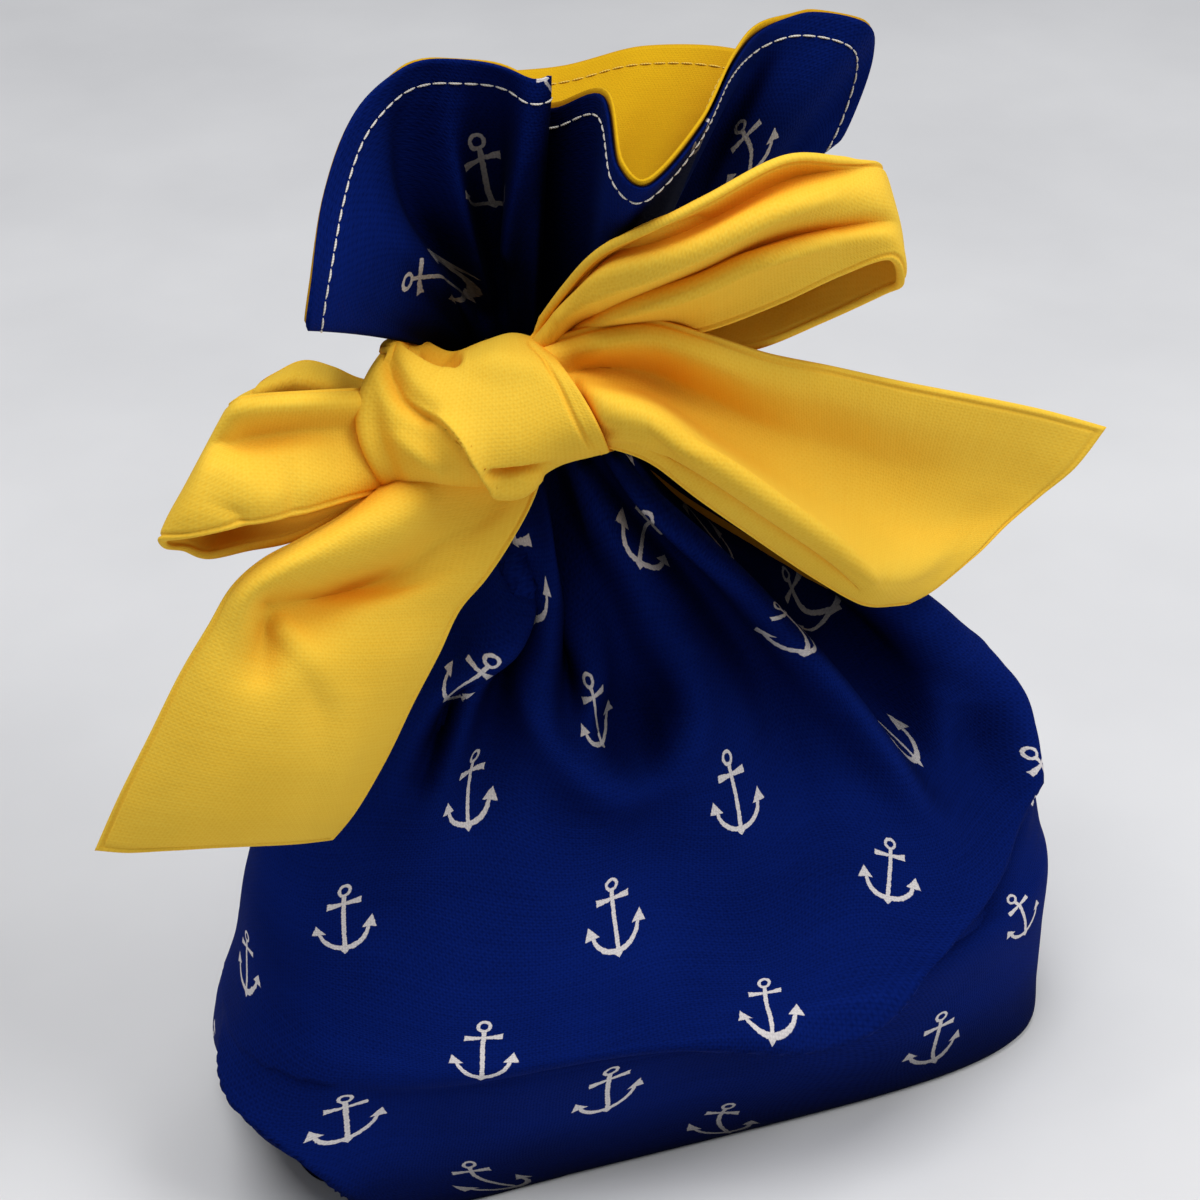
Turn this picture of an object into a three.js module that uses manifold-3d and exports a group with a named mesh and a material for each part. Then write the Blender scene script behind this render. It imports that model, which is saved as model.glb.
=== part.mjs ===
// A lined cotton pouch, gathered at the neck and closed by a wide sewn sash tied in a bow.
// Millimetres, +Z up, origin at the centre of the base on the table, front towards -Y.

import * as THREE from 'three';
import { mergeVertices } from 'three/addons/utils/BufferGeometryUtils.js';
import Module from 'manifold-3d';

const wasm = await Module();
wasm.setup();

// Cloth
const CLOTH = 0.6;          // thickness of the outer cotton
const LINING_CLOTH = 0.5;   // thickness of the lining cotton
const PLY_GAP = 0.5;        // air between the two cloths, and between thread and cloth
const LINING_LIP = 1.0;     // how far the lining's rolled edge stands above the outer rim
const RUFFLE = 68;          // cloth height of the ruffle above the neck
const RUFFLE_BOW = 1.2;     // how far the ruffle bows up between neck and rim

// Neck, where the sash draws the bag together
const NECK_HEIGHT = 162;    // middle of the neck above the table
const NECK_LENGTH = 15;     // straight stretch that the turn of sash lies on
const NECK_AT = [-13, 9];
const NECK_HALF_WIDTH = 17;
const NECK_HALF_DEPTH = 12;

// Topstitch along the rim
const STITCH_DROP = 5;      // below the rim
const STITCH_THREAD = 0.5;  // thread width

// Sash
const SASH_CLOTH = 1.4;     // two layers of cotton, pressed
const SASH_CLEARANCE = 0.5; // between the sash and the gathered neck
const BAND_THICKNESS = 4;   // the turn of sash round the neck, bunched
const KNOT_AT = [NECK_AT[0] - 18, NECK_AT[1] - 23, NECK_HEIGHT + 9];
const KNOT_HALF = [22.5, 13, 14];
const KNOT_TILT = 12;       // degrees, lower to the right
const KNOT_FOLD = 0.08;     // depth of the fold across the knot, as a share of its half width
const TAIL_BULGE = 1.5;     // how far a tail bows out between its edges
const LOOP_BULGE = 3;

// How finely the cloth is cut into flat facets
const AROUND = 66;
const FRONT_CROWDING = 0.045;
const BODY_ROWS = 13;
const RUFFLE_ROWS = 4;
const ACROSS = [1, 0.5, 0, -0.5, -1];

// Rings up the body, from the flat base to the shoulder under the neck: height, how far the
// ring reaches to each side of its centre, where that centre is, and how square it is
const BODY_RINGS = [
  { z: 0, left: 79, right: 88, front: 31, back: 31, at: [0, 0], square: 2.8 },
  { z: 2, left: 84.5, right: 90.5, front: 33, back: 33, at: [0, 0], square: 2.8 },
  { z: 12, left: 93, right: 91, front: 36, back: 35, at: [0, 0], square: 2.7 },
  { z: 28, left: 89, right: 91, front: 40, back: 36, at: [0, 0], square: 2.6 },
  { z: 43, left: 84, right: 91, front: 43.5, back: 35, at: [0, 0], square: 2.6 },
  { z: 50, left: 82, right: 89.5, front: 39.5, back: 34.5, at: [0, 0], square: 2.5 },
  { z: 66, left: 78, right: 87.5, front: 30, back: 33, at: [-1, 0], square: 2.4 },
  { z: 84, left: 70, right: 83, front: 22, back: 29, at: [-3, 1], square: 2.3 },
  { z: 104, left: 57, right: 70, front: 18, back: 24, at: [-5, 3], square: 2.2 },
  { z: 122, left: 42, right: 52, front: 16, back: 19, at: [-8, 5], square: 2.1 },
  { z: 138, left: 29, right: 34, front: 15, back: 15, at: [-11, 7], square: 2 },
  { z: 150, left: 20, right: 21, front: 13, back: 13, at: [-12.5, 8.5], square: 2 },
];

// Valleys of the gathers, by their place round the cloth (0 and 1 at the back, 0.25 left,
// 0.5 front, 0.75 right): where each leaves the neck and where it runs out, how far down
// the body it reaches, and its depth and breadth halfway
const VALLEYS = [
  { from: 0.035, to: 0.025, down: 84, deep: 5, broad: 0.05 },
  { from: 0.13, to: 0.12, down: 74, deep: 5, broad: 0.05 },
  { from: 0.22, to: 0.2, down: 66, deep: 5, broad: 0.045 },
  { from: 0.3, to: 0.28, down: 64, deep: 5, broad: 0.04 },
  { from: 0.385, to: 0.355, down: 92, deep: 8, broad: 0.04 },
  { from: 0.455, to: 0.465, down: 104, deep: 6, broad: 0.04 },
  { from: 0.54, to: 0.555, down: 116, deep: 4, broad: 0.035 },
  { from: 0.645, to: 0.665, down: 88, deep: 9, broad: 0.056 },
  { from: 0.715, to: 0.735, down: 96, deep: 7, broad: 0.045 },
  { from: 0.8, to: 0.81, down: 78, deep: 5, broad: 0.045 },
  { from: 0.885, to: 0.9, down: 74, deep: 5, broad: 0.05 },
];
const NECK_GATHER = 2.4;    // how deep the valleys stay at the neck itself

// The rim of the ruffle as it stands, from the back centre round by the left: the place
// round the cloth, and the way from the middle of the neck
const RIM = [
  { u: 0, out: [15, 43, 42] },
  { u: 0.06, out: [-4, 50, 40] },
  { u: 0.115, out: [-20, 42, 40] },
  { u: 0.165, out: [-29, 22, 42] },
  { u: 0.215, out: [-40, -2, 40] },
  { u: 0.25, out: [-50, -34, 36] },
  { u: 0.275, out: [-49, -36, 44] },
  { u: 0.3, out: [-44, -25, 54] },
  { u: 0.33, out: [-36, -14, 62] },
  { u: 0.355, out: [-27, -7, 65] },
  { u: 0.38, out: [-18, -7, 66] },
  { u: 0.415, out: [-8, -16, 65] },
  { u: 0.435, out: [-4, -14, 64] },
  { u: 0.455, out: [-8, -6, 62] },
  { u: 0.475, out: [-2, -9, 62.5] },
  { u: 0.495, out: [3, -19, 63] },
  { u: 0.53, out: [-1, -38, 58] },
  { u: 0.55, out: [3, -43, 56] },
  { u: 0.59, out: [16, -32, 60] },
  { u: 0.625, out: [29, -12, 62] },
  { u: 0.66, out: [40, 4, 60.5] },
  { u: 0.69, out: [47, 6, 63] },
  { u: 0.73, out: [57, 4, 62] },
  { u: 0.77, out: [59, 10, 56] },
  { u: 0.82, out: [55, 26, 50] },
  { u: 0.88, out: [44, 24, 52] },
  { u: 0.94, out: [31, 38, 46] },
];

// The sash's limbs, from the middle of the knot: the middle of the sash at each place along
// a limb, and the way from there to its upper edge
const LEFT_TAIL = [
  { mid: [-6, -2, -4], half: [-10, -1, 2] },
  { mid: [-14, -6, -10], half: [-17, -3, 4] },
  { mid: [-26, -8, -25], half: [-21, -5, 9] },
  { mid: [-40, -9, -47], half: [-21, -4, 9] },
  { mid: [-55, -8, -72], half: [-21, -3, 6] },
];
const RIGHT_TAIL = [
  { mid: [12, 0, 1], half: [-2, 3, 6] },
  { mid: [31, -4, 2], half: [2, 5, 11] },
  { mid: [56, -2, -15], half: [6, 6, 14] },
  { mid: [81, 2, -31], half: [8, 6, 17] },
  { mid: [108, 5, -41], half: [16, 3, 13] },
];
const LEFT_LOOP = [
  { mid: [-14, -4, 2], half: [1, 1, 8] },
  { mid: [-32, -10, 6], half: [1, 4, 10] },
  { mid: [-43, -12, 3], half: [2, 5, 10] },
  { mid: [-52, -6, -4], half: [5, 4, 8] },
  { mid: [-42, 0, -4], half: [3, 5, 11] },
  { mid: [-31, 3, 0], half: [0, 4, 13] },
  { mid: [-14, 4, 0], half: [1, 1, 9] },
];
const RIGHT_LOOP = [
  { mid: [11, -5, 6], half: [-4, 2, 5] },
  { mid: [24, -19, 29], half: [-4, 3, 9] },
  { mid: [42, -15, 34], half: [-2, 7, 9] },
  { mid: [59, -4, 30], half: [-1, 8, 8] },
  { mid: [71, 6, 20], half: [1, 6, 8] },
  { mid: [65, 13, 15], half: [-1, 5, 10] },
  { mid: [49, 5, 13], half: [-3, 4, 11] },
  { mid: [29, -3, 9], half: [-5, 2, 6] },
  { mid: [13, 3, 2], half: [-3, 2, 4] },
];

const COLOURS = {
  navy: new THREE.MeshStandardMaterial({ color: 0x14225e, roughness: 0.85, metalness: 0 }),
  lining: new THREE.MeshStandardMaterial({ color: 0xf2c443, roughness: 0.8, metalness: 0 }),
  sash: new THREE.MeshStandardMaterial({ color: 0xf0c24c, roughness: 0.8, metalness: 0 }),
  thread: new THREE.MeshStandardMaterial({ color: 0xe9e4da, roughness: 0.6, metalness: 0 }),
};

// Curve through numbers, so that a loft passes smoothly through every ring it is given
function catmull(a, b, c, d, t) {
  return b + 0.5 * t * (c - a + t * (2 * a - 5 * b + 4 * c - d + t * (3 * (b - c) + d - a)));
}

function smooth(t) {
  const x = Math.min(Math.max(t, 0), 1);
  return x * x * (3 - 2 * x);
}

// The body's rings and the neck's two, as plain rows of numbers to blend
const neckRing = (z) => ({
  z,
  left: NECK_HALF_WIDTH,
  right: NECK_HALF_WIDTH,
  front: NECK_HALF_DEPTH,
  back: NECK_HALF_DEPTH,
  at: NECK_AT,
  square: 2,
});
const NECK_FOOT = NECK_HEIGHT - NECK_LENGTH / 2;
const NECK_TOP = NECK_HEIGHT + NECK_LENGTH / 2;
const RINGS = [...BODY_RINGS, neckRing(NECK_FOOT), neckRing(NECK_TOP)];
const RING_ROWS = RINGS.map((ring) => [
  ring.z, ring.left, ring.right, ring.front, ring.back, ring.at[0], ring.at[1], ring.square,
]);

// Cloth height of each ring, measured up the front of the bag
const RING_HEIGHTS = [0];
for (let i = 1; i < RING_ROWS.length; i += 1) {
  const rise = RING_ROWS[i][0] - RING_ROWS[i - 1][0];
  const forward = (row) => row[6] - row[3];
  const back = forward(RING_ROWS[i]) - forward(RING_ROWS[i - 1]);
  RING_HEIGHTS.push(RING_HEIGHTS[i - 1] + Math.hypot(rise, back));
}
const FOOT_T = RING_HEIGHTS[RING_HEIGHTS.length - 2];

function ringAt(t) {
  let i = 0;
  while (i < RING_HEIGHTS.length - 2 && RING_HEIGHTS[i + 1] < t) i += 1;
  const span = RING_HEIGHTS[i + 1] - RING_HEIGHTS[i];
  const local = (t - RING_HEIGHTS[i]) / span;
  const row = (k) => RING_ROWS[Math.min(Math.max(k, 0), RING_ROWS.length - 1)];
  return RING_ROWS[i].map((value, k) => {
    return catmull(row(i - 1)[k], value, row(i + 1)[k], row(i + 2)[k], local);
  });
}

// How far a point of the cloth lies inside the smooth ring, from the valleys it is in
function valleyDepth(u, t) {
  const below = Math.max(FOOT_T - t, 0);
  let depth = 0;
  for (const valley of VALLEYS) {
    const along = below / valley.down;
    if (along >= 1) continue;
    const middle = valley.from + (valley.to - valley.from) * along;
    let away = u - middle;
    away -= Math.round(away);
    const across = away / (valley.broad * 0.5);
    const deep = NECK_GATHER + (valley.deep - NECK_GATHER) * smooth(along * 4);
    const fade = smooth((1 - along) * 1.6);
    depth += deep * fade * Math.exp(-across * across);
  }
  return depth;
}

// Place round the cloth of each column of facets, closer together at the front
function placeRound(i) {
  const share = i / AROUND;
  return share + FRONT_CROWDING * Math.sin(2 * Math.PI * share);
}

// One ring of the outer face of the cloth, with the level direction out of the bag at each
// point. That direction leads away from a spine down the middle of the ring, and the valleys
// are pressed in along it.
function bodyRing(t) {
  const [z, left, right, front, back, cx, cy, square] = ringAt(t);
  const fine = 720;
  const points = [];
  for (let k = 0; k <= fine; k += 1) {
    const angle = Math.PI * (0.5 + (2 * k) / fine);
    const c = Math.cos(angle);
    const s = Math.sin(angle);
    const wide = c > 0 ? right : left;
    const deep = s > 0 ? back : front;
    const reach = (Math.abs(c / wide) ** square + Math.abs(s / deep) ** square) ** (-1 / square);
    points.push([cx + c * reach, cy + s * reach]);
  }
  const lengths = [0];
  for (let k = 1; k <= fine; k += 1) {
    const step = Math.hypot(points[k][0] - points[k - 1][0], points[k][1] - points[k - 1][1]);
    lengths.push(lengths[k - 1] + step);
  }
  const thin = Math.min(front, back);
  const reachOf = (half) => Math.min(thin - half, 0);
  const ring = [];
  const outs = [];
  let k = 0;
  for (let i = 0; i < AROUND; i += 1) {
    const u = placeRound(i);
    const target = u * lengths[fine];
    while (lengths[k + 1] < target) k += 1;
    const local = (target - lengths[k]) / (lengths[k + 1] - lengths[k]);
    const x = points[k][0] + local * (points[k + 1][0] - points[k][0]);
    const y = points[k][1] + local * (points[k + 1][1] - points[k][1]);
    const spine = cx + Math.min(Math.max(x - cx, reachOf(left)), -reachOf(right));
    const out = unit([x - spine, y - cy, 0]);
    const depth = valleyDepth(u, t);
    ring.push([x - out[0] * depth, y - out[1] * depth, z]);
    outs.push(out);
  }
  return { ring, outs };
}

// The rim as a closed smooth curve over the position round the cloth
function rimPoint(u) {
  const count = RIM.length;
  let i = count - 1;
  for (let k = 0; k < count; k += 1) {
    if (RIM[k].u <= u) i = k;
  }
  const at = (k) => RIM[(k + count) % count].out;
  const end = i === count - 1 ? 1 : RIM[i + 1].u;
  const local = (u - RIM[i].u) / (end - RIM[i].u);
  const middle = [NECK_AT[0], NECK_AT[1], NECK_HEIGHT];
  return middle.map((value, axis) => {
    return value + catmull(at(i - 1)[axis], at(i)[axis], at(i + 1)[axis], at(i + 2)[axis], local);
  });
}

// Outer face of the outer cloth, as rings from the table edge up to the rim, and the level
// directions out of it as far as the foot of the neck. The last ring but one follows the
// topstitch.
function outerFace() {
  const heights = [];
  for (let row = 0; row <= BODY_ROWS; row += 1) heights.push((FOOT_T * row) / BODY_ROWS);
  const body = heights.map(bodyRing);
  const foot = body[BODY_ROWS];
  const neck = foot.ring.map(([x, y]) => [x, y, NECK_TOP]);
  const shares = [];
  for (let row = 1; row <= RUFFLE_ROWS; row += 1) {
    shares.push((row / RUFFLE_ROWS) * (1 - STITCH_DROP / RUFFLE));
  }
  shares.push(1);
  const ruffle = shares.map((share) => neck.map((start, i) => {
    const rim = rimPoint(placeRound(i));
    const bow = RUFFLE_BOW * 4 * share * (1 - share);
    return start.map((value, axis) => {
      return value + (rim[axis] - value) * share + (axis === 2 ? bow : 0);
    });
  }));
  return {
    rings: [...body.map(({ ring }) => ring), neck, ...ruffle],
    outs: body.map(({ outs }) => outs),
  };
}

function unit(v) {
  const length = Math.hypot(...v);
  return v.map((value) => value / length);
}

function minus(a, b) {
  return a.map((value, axis) => value - b[axis]);
}

function cross(a, b) {
  return [a[1] * b[2] - a[2] * b[1], a[2] * b[0] - a[0] * b[2], a[0] * b[1] - a[1] * b[0]];
}

// Outward direction of the cloth at a point of its outer face
function outward(rings, row, i) {
  const ring = rings[row];
  const around = minus(ring[(i + 1) % AROUND], ring[(i + AROUND - 1) % AROUND]);
  const above = rings[Math.min(row + 1, rings.length - 1)][i];
  const below = rings[Math.max(row - 1, 0)][i];
  return unit(cross(around, minus(above, below)));
}

// The same rings a given depth inside the outer face, their floor raised as much
function inside({ rings, outs }, depth, lip) {
  const last = rings.length - 1;
  return rings.map((ring, row) => ring.map((point, i) => {
    if (row < outs.length) {
      const height = row === 0 ? depth : point[2];
      return [point[0] - outs[row][i][0] * depth, point[1] - outs[row][i][1] * depth, height];
    }
    const out = outward(rings, row, i);
    const up = unit(minus(point, rings[row - 1][i]));
    const rise = row < last ? 0 : lip;
    return point.map((value, axis) => value - out[axis] * depth + up[axis] * rise);
  }));
}

// Facets of a closed body, gathered as points and triangles
class Facets {
  constructor() {
    this.points = [];
    this.triangles = [];
  }

  ring(points) {
    const first = this.points.length;
    this.points.push(...points);
    return points.map((point, i) => first + i);
  }

  // Wall between two closed rings, facing out or in. Both faces of a cloth are split along
  // the same diagonals, so that they stay parallel.
  wall(low, high, outwards = true) {
    low.forEach((a, i) => {
      const b = low[(i + 1) % low.length];
      const c = high[(i + 1) % low.length];
      const d = high[i];
      this.triangles.push(...(outwards ? [[a, b, c], [a, c, d]] : [[a, c, b], [a, d, c]]));
    });
  }

  // Fan that closes a ring about its middle
  cap(ring, middle, upward) {
    const centre = this.points.length;
    this.points.push(middle);
    ring.forEach((a, i) => {
      const b = ring[(i + 1) % ring.length];
      this.triangles.push(upward ? [a, b, centre] : [b, a, centre]);
    });
  }

  walls(rings, outwards = true) {
    for (let row = 1; row < rings.length; row += 1) {
      this.wall(rings[row - 1], rings[row], outwards);
    }
  }

  geometry() {
    const geometry = new THREE.BufferGeometry();
    geometry.setAttribute('position', new THREE.Float32BufferAttribute(this.points.flat(), 3));
    geometry.setIndex(this.triangles.flat());
    geometry.computeVertexNormals();
    return geometry;
  }
}

function middleOf(ring) {
  return [0, 1, 2].map((axis) => ring.reduce((sum, point) => sum + point[axis], 0) / ring.length);
}

// Outer cotton: a bag of one cloth thickness, open at the rim
function outerBag(face) {
  const facets = new Facets();
  const within = inside(face, CLOTH, 0);
  const outer = face.rings.map((ring) => facets.ring(ring));
  const inner = within.map((ring) => facets.ring(ring));
  facets.cap(outer[0], middleOf(face.rings[0]), false);
  facets.walls(outer);
  facets.wall(outer.at(-1), inner.at(-1));
  facets.walls(inner, false);
  facets.cap(inner[0], middleOf(within[0]), true);
  return facets.geometry();
}

// Lining: full below the neck, where the tied bag is shut, and a cloth funnel above it
function liningBag(face) {
  const facets = new Facets();
  const outerRings = inside(face, CLOTH + PLY_GAP, LINING_LIP);
  const mouthRings = inside(face, CLOTH + PLY_GAP + LINING_CLOTH, LINING_LIP).slice(BODY_ROWS + 1);
  const outer = outerRings.map((ring) => facets.ring(ring));
  const mouth = mouthRings.map((ring) => facets.ring(ring));
  facets.cap(outer[0], middleOf(outerRings[0]), false);
  facets.walls(outer);
  facets.wall(outer.at(-1), mouth.at(-1));
  facets.walls(mouth, false);
  facets.cap(mouth[0], middleOf(mouthRings[0]), true);
  return facets.geometry();
}

// Topstitch: one thread laid round the outer face, just below the rim
function topstitch({ rings: cloth }) {
  const row = cloth.length - 2;
  const corners = [[0, -0.5], [1, -0.5], [1, 0.5], [0, 0.5]];
  const facets = new Facets();
  const rings = corners.map(([out, up]) => facets.ring(cloth[row].map((point, i) => {
    const normal = outward(cloth, row, i);
    const rise = unit(minus(cloth[row + 1][i], point));
    const lift = PLY_GAP + out * STITCH_THREAD;
    return point.map((value, axis) => {
      return value + normal[axis] * lift + rise[axis] * up * STITCH_THREAD;
    });
  })));
  facets.walls([rings[3], rings[0], rings[1], rings[2], rings[3]]);
  return facets.geometry();
}

// One limb of the sash: a strip through its stations, with both faces and all four edges
function limb(stations, steps, bulge) {
  const last = stations.length - 1;
  const station = (k) => stations[Math.min(Math.max(k, 0), last)];
  const blend = (key, place) => {
    const i = Math.min(Math.floor(place), last - 1);
    return [0, 1, 2].map((axis) => catmull(
      station(i - 1)[key][axis],
      station(i)[key][axis],
      station(i + 1)[key][axis],
      station(i + 2)[key][axis],
      place - i,
    ));
  };
  const rows = [];
  for (let k = 0; k <= steps; k += 1) {
    const place = (last * k) / steps;
    const ahead = blend('mid', Math.min(place + 0.05, last));
    const behind = blend('mid', Math.max(place - 0.05, 0));
    const half = blend('half', place);
    const normal = unit(cross(half, minus(ahead, behind)));
    rows.push({ mid: blend('mid', place), half, normal });
  }
  const side = (lift) => rows.map(({ mid, half, normal }) => ACROSS.map((share) => {
    const rise = lift + bulge * (1 - share * share);
    return mid.map((value, axis) => {
      return KNOT_AT[axis] + value + half[axis] * share + normal[axis] * rise;
    });
  }));
  const front = side(SASH_CLOTH / 2);
  const back = side(-SASH_CLOTH / 2);
  const facets = new Facets();
  const rings = front.map((row, k) => facets.ring([...back[k], ...row.toReversed()]));
  facets.walls(rings);
  closeStrip(facets, rings[0], false);
  closeStrip(facets, rings[steps], true);
  return facets.geometry();
}

// End of a strip: the quads between its front and its back edge
function closeStrip(facets, ring, far) {
  const half = ring.length / 2;
  for (let i = 0; i + 1 < half; i += 1) {
    const a = ring[i];
    const b = ring[i + 1];
    const c = ring[ring.length - 2 - i];
    const d = ring[ring.length - 1 - i];
    facets.triangles.push(...(far ? [[a, b, c], [a, c, d]] : [[a, c, b], [a, d, c]]));
  }
}

// The turn of sash round the neck
function neckBand() {
  const facets = new Facets();
  const count = 40;
  const section = [[0, -1], [0, 1], [0.75, 0.8], [1, 0], [0.75, -0.8]];
  const rings = section.map(([out, up]) => {
    const grow = SASH_CLEARANCE + out * BAND_THICKNESS;
    const points = [];
    for (let i = 0; i < count; i += 1) {
      const angle = Math.PI * (0.5 + (2 * i) / count);
      points.push([
        NECK_AT[0] + (NECK_HALF_WIDTH + grow) * Math.cos(angle),
        NECK_AT[1] + (NECK_HALF_DEPTH + grow) * Math.sin(angle),
        NECK_HEIGHT + (up * (NECK_LENGTH - 2 * SASH_CLEARANCE)) / 2,
      ]);
    }
    return facets.ring(points);
  });
  facets.walls([rings[0], rings[4], rings[3], rings[2], rings[1], rings[0]]);
  return facets.geometry();
}

// The knot: a lump with the folds of the sash wrapped over it
function knot() {
  const geometry = new THREE.SphereGeometry(1, 28, 18);
  const positions = geometry.attributes.position;
  const point = new THREE.Vector3();
  for (let i = 0; i < positions.count; i += 1) {
    point.fromBufferAttribute(positions, i);
    const across = point.z - 0.55 * point.x + 0.1;
    const groove = point.y < 0 ? KNOT_FOLD * Math.exp(-((across / 0.16) ** 2)) : 0;
    point.multiplyScalar(1 - groove);
    point.set(point.x * KNOT_HALF[0], point.y * KNOT_HALF[1], point.z * KNOT_HALF[2]);
    point.applyAxisAngle(new THREE.Vector3(0, -1, 0), THREE.MathUtils.degToRad(-KNOT_TILT));
    positions.setXYZ(i, point.x + KNOT_AT[0], point.y + KNOT_AT[1], point.z + KNOT_AT[2]);
  }
  return geometry;
}

function toManifold(geometry) {
  const bare = geometry.clone();
  bare.deleteAttribute('normal');
  bare.deleteAttribute('uv');
  const merged = mergeVertices(bare, 1e-4);
  return new wasm.Manifold(new wasm.Mesh({
    numProp: 3,
    vertProperties: new Float32Array(merged.attributes.position.array),
    triVerts: new Uint32Array(merged.index.array),
  }));
}

function tieSash() {
  const pieces = [
    neckBand(),
    knot(),
    limb(LEFT_TAIL, 10, TAIL_BULGE),
    limb(RIGHT_TAIL, 10, -TAIL_BULGE),
    limb(LEFT_LOOP, 16, LOOP_BULGE),
    limb(RIGHT_LOOP, 20, -LOOP_BULGE),
  ];
  const joined = pieces.map(toManifold).reduce((sum, piece) => sum.add(piece));
  const { vertProperties, triVerts } = joined.getMesh();
  const geometry = new THREE.BufferGeometry();
  geometry.setAttribute('position', new THREE.BufferAttribute(vertProperties, 3));
  geometry.setIndex(new THREE.BufferAttribute(triVerts, 1));
  geometry.computeVertexNormals();
  return geometry;
}

const pouch = new THREE.Group();
pouch.name = 'kinchaku_pouch';

function addPiece(name, geometry, material) {
  const mesh = new THREE.Mesh(geometry, material);
  mesh.name = name;
  pouch.add(mesh);
}

const face = outerFace();
addPiece('outer_bag', outerBag(face), COLOURS.navy);
addPiece('lining_bag', liningBag(face), COLOURS.lining);
addPiece('rim_topstitch', topstitch(face), COLOURS.thread);
addPiece('tie_sash', tieSash(), COLOURS.sash);

export default pouch;
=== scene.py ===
"""Lined cotton pouch, gathered at the neck and closed by a wide sewn sash tied in a bow.

The cloth is lofted in millimetres round the same rings, rim and sash stations as the solids of
the frame, with finer folds pressed into it, and is handed to Blender in metres.
"""

import logging
import math
from dataclasses import dataclass, replace
from enum import Enum

import bpy
import numpy as np
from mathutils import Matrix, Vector


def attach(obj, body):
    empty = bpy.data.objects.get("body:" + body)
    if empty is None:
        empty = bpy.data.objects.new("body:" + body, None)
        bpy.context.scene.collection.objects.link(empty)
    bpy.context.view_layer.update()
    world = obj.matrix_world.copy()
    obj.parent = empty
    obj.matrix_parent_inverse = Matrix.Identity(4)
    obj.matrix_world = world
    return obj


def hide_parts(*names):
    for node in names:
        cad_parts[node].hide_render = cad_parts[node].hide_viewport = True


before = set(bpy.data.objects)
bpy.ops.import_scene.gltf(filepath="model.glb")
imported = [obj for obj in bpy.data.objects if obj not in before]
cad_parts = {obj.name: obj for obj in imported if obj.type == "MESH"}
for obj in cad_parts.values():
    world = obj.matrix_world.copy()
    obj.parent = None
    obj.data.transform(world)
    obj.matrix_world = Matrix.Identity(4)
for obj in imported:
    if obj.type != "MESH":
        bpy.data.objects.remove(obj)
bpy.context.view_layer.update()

log = logging.getLogger("pouch")

METRES = 0.001
BODY = "root"
UV_NAME = "cloth_mm"

# The bag's cloth
CLOTH_ROUND = 435.0  # the cloth's length round the bag
LINING_ROUND = 431.0
CLOTH = 0.6
LINING_CLOTH = 0.5
PLY_GAP = 0.3
RUFFLE = 68.0
RUFFLE_BOW = 1.2
STITCH_DROP = 5.0

# The neck
NECK_HEIGHT = 162.0
NECK_LENGTH = 15.0
NECK_AT = (-13.0, 9.0)
NECK_HALF_WIDTH = 17.0
NECK_HALF_DEPTH = 12.0
NECK_FOOT = NECK_HEIGHT - NECK_LENGTH / 2
NECK_TOP = NECK_HEIGHT + NECK_LENGTH / 2

# The sash
SASH_CLOTH = 1.5
SASH_WIDTH = 45.0
SASH_ROUND_NECK = 100.0
ALL_FRONT = 99.0  # a limb that never turns back, so that its front is seen all along
KNOT_AT = np.array([NECK_AT[0] - 18.0, NECK_AT[1] - 23.0, NECK_HEIGHT + 9.0])


@dataclass(frozen=True)
class Viewpoint:
    """Where the photograph was taken from, and the way between its frame and the pouch.

    A place in the frame is (x, y) on a picture 1200 wide and high, with y running down. How far
    a point stands towards the camera is counted in millimetres from the knot's middle.
    """

    azimuth: float = -18.0
    elevation: float = 34.0
    distance: float = 480.0
    focus: float = 2300.0
    side: float = 1200.0
    target: tuple[float, float, float] = (4.0, 34.0, 95.0)

    def axes(self) -> tuple[np.ndarray, np.ndarray, np.ndarray]:
        """The directions to the right, up the frame, and towards the camera."""
        a, e = math.radians(self.azimuth), math.radians(self.elevation)
        back = np.array([math.sin(a) * math.cos(e), -math.cos(a) * math.cos(e), math.sin(e)])
        right = np.array([math.cos(a), math.sin(a), 0.0])
        return right, np.cross(back, right), back

    def eye(self) -> np.ndarray:
        """Where the camera stands, in millimetres."""
        return np.array(self.target) + self.axes()[2] * self.distance

    def reach(self) -> float:
        """How far the knot's middle is from the camera along its view."""
        return float((self.eye() - KNOT_AT) @ self.axes()[2])

    def point(self, sight: np.ndarray) -> np.ndarray:
        """Points of the pouch from places in the frame.

        Args:
            sight: x, y and how far towards the camera, in the last axis.

        Returns:
            The points, in millimetres.
        """
        right, up, back = self.axes()
        x = (sight[..., :1] - self.side / 2) / self.focus
        y = (self.side / 2 - sight[..., 1:2]) / self.focus
        return self.eye() + (right * x + up * y - back) * (self.reach() - sight[..., 2:3])

    def sight(self, points: np.ndarray) -> np.ndarray:
        """Places in the frame of points of the pouch, with how far each stands forward."""
        right, up, back = self.axes()
        way = points - self.eye()
        deep = -(way @ back)
        x = self.side / 2 + self.focus * (way @ right) / deep
        y = self.side / 2 - self.focus * (way @ up) / deep
        return np.stack([x, y, self.reach() - deep], axis=-1)


VIEW = Viewpoint()


class FoldShape(Enum):
    """How a fold of the cloth is rounded across."""

    SOFT = "soft"
    SHARP = "sharp"
    LEDGE = "ledge"


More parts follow.
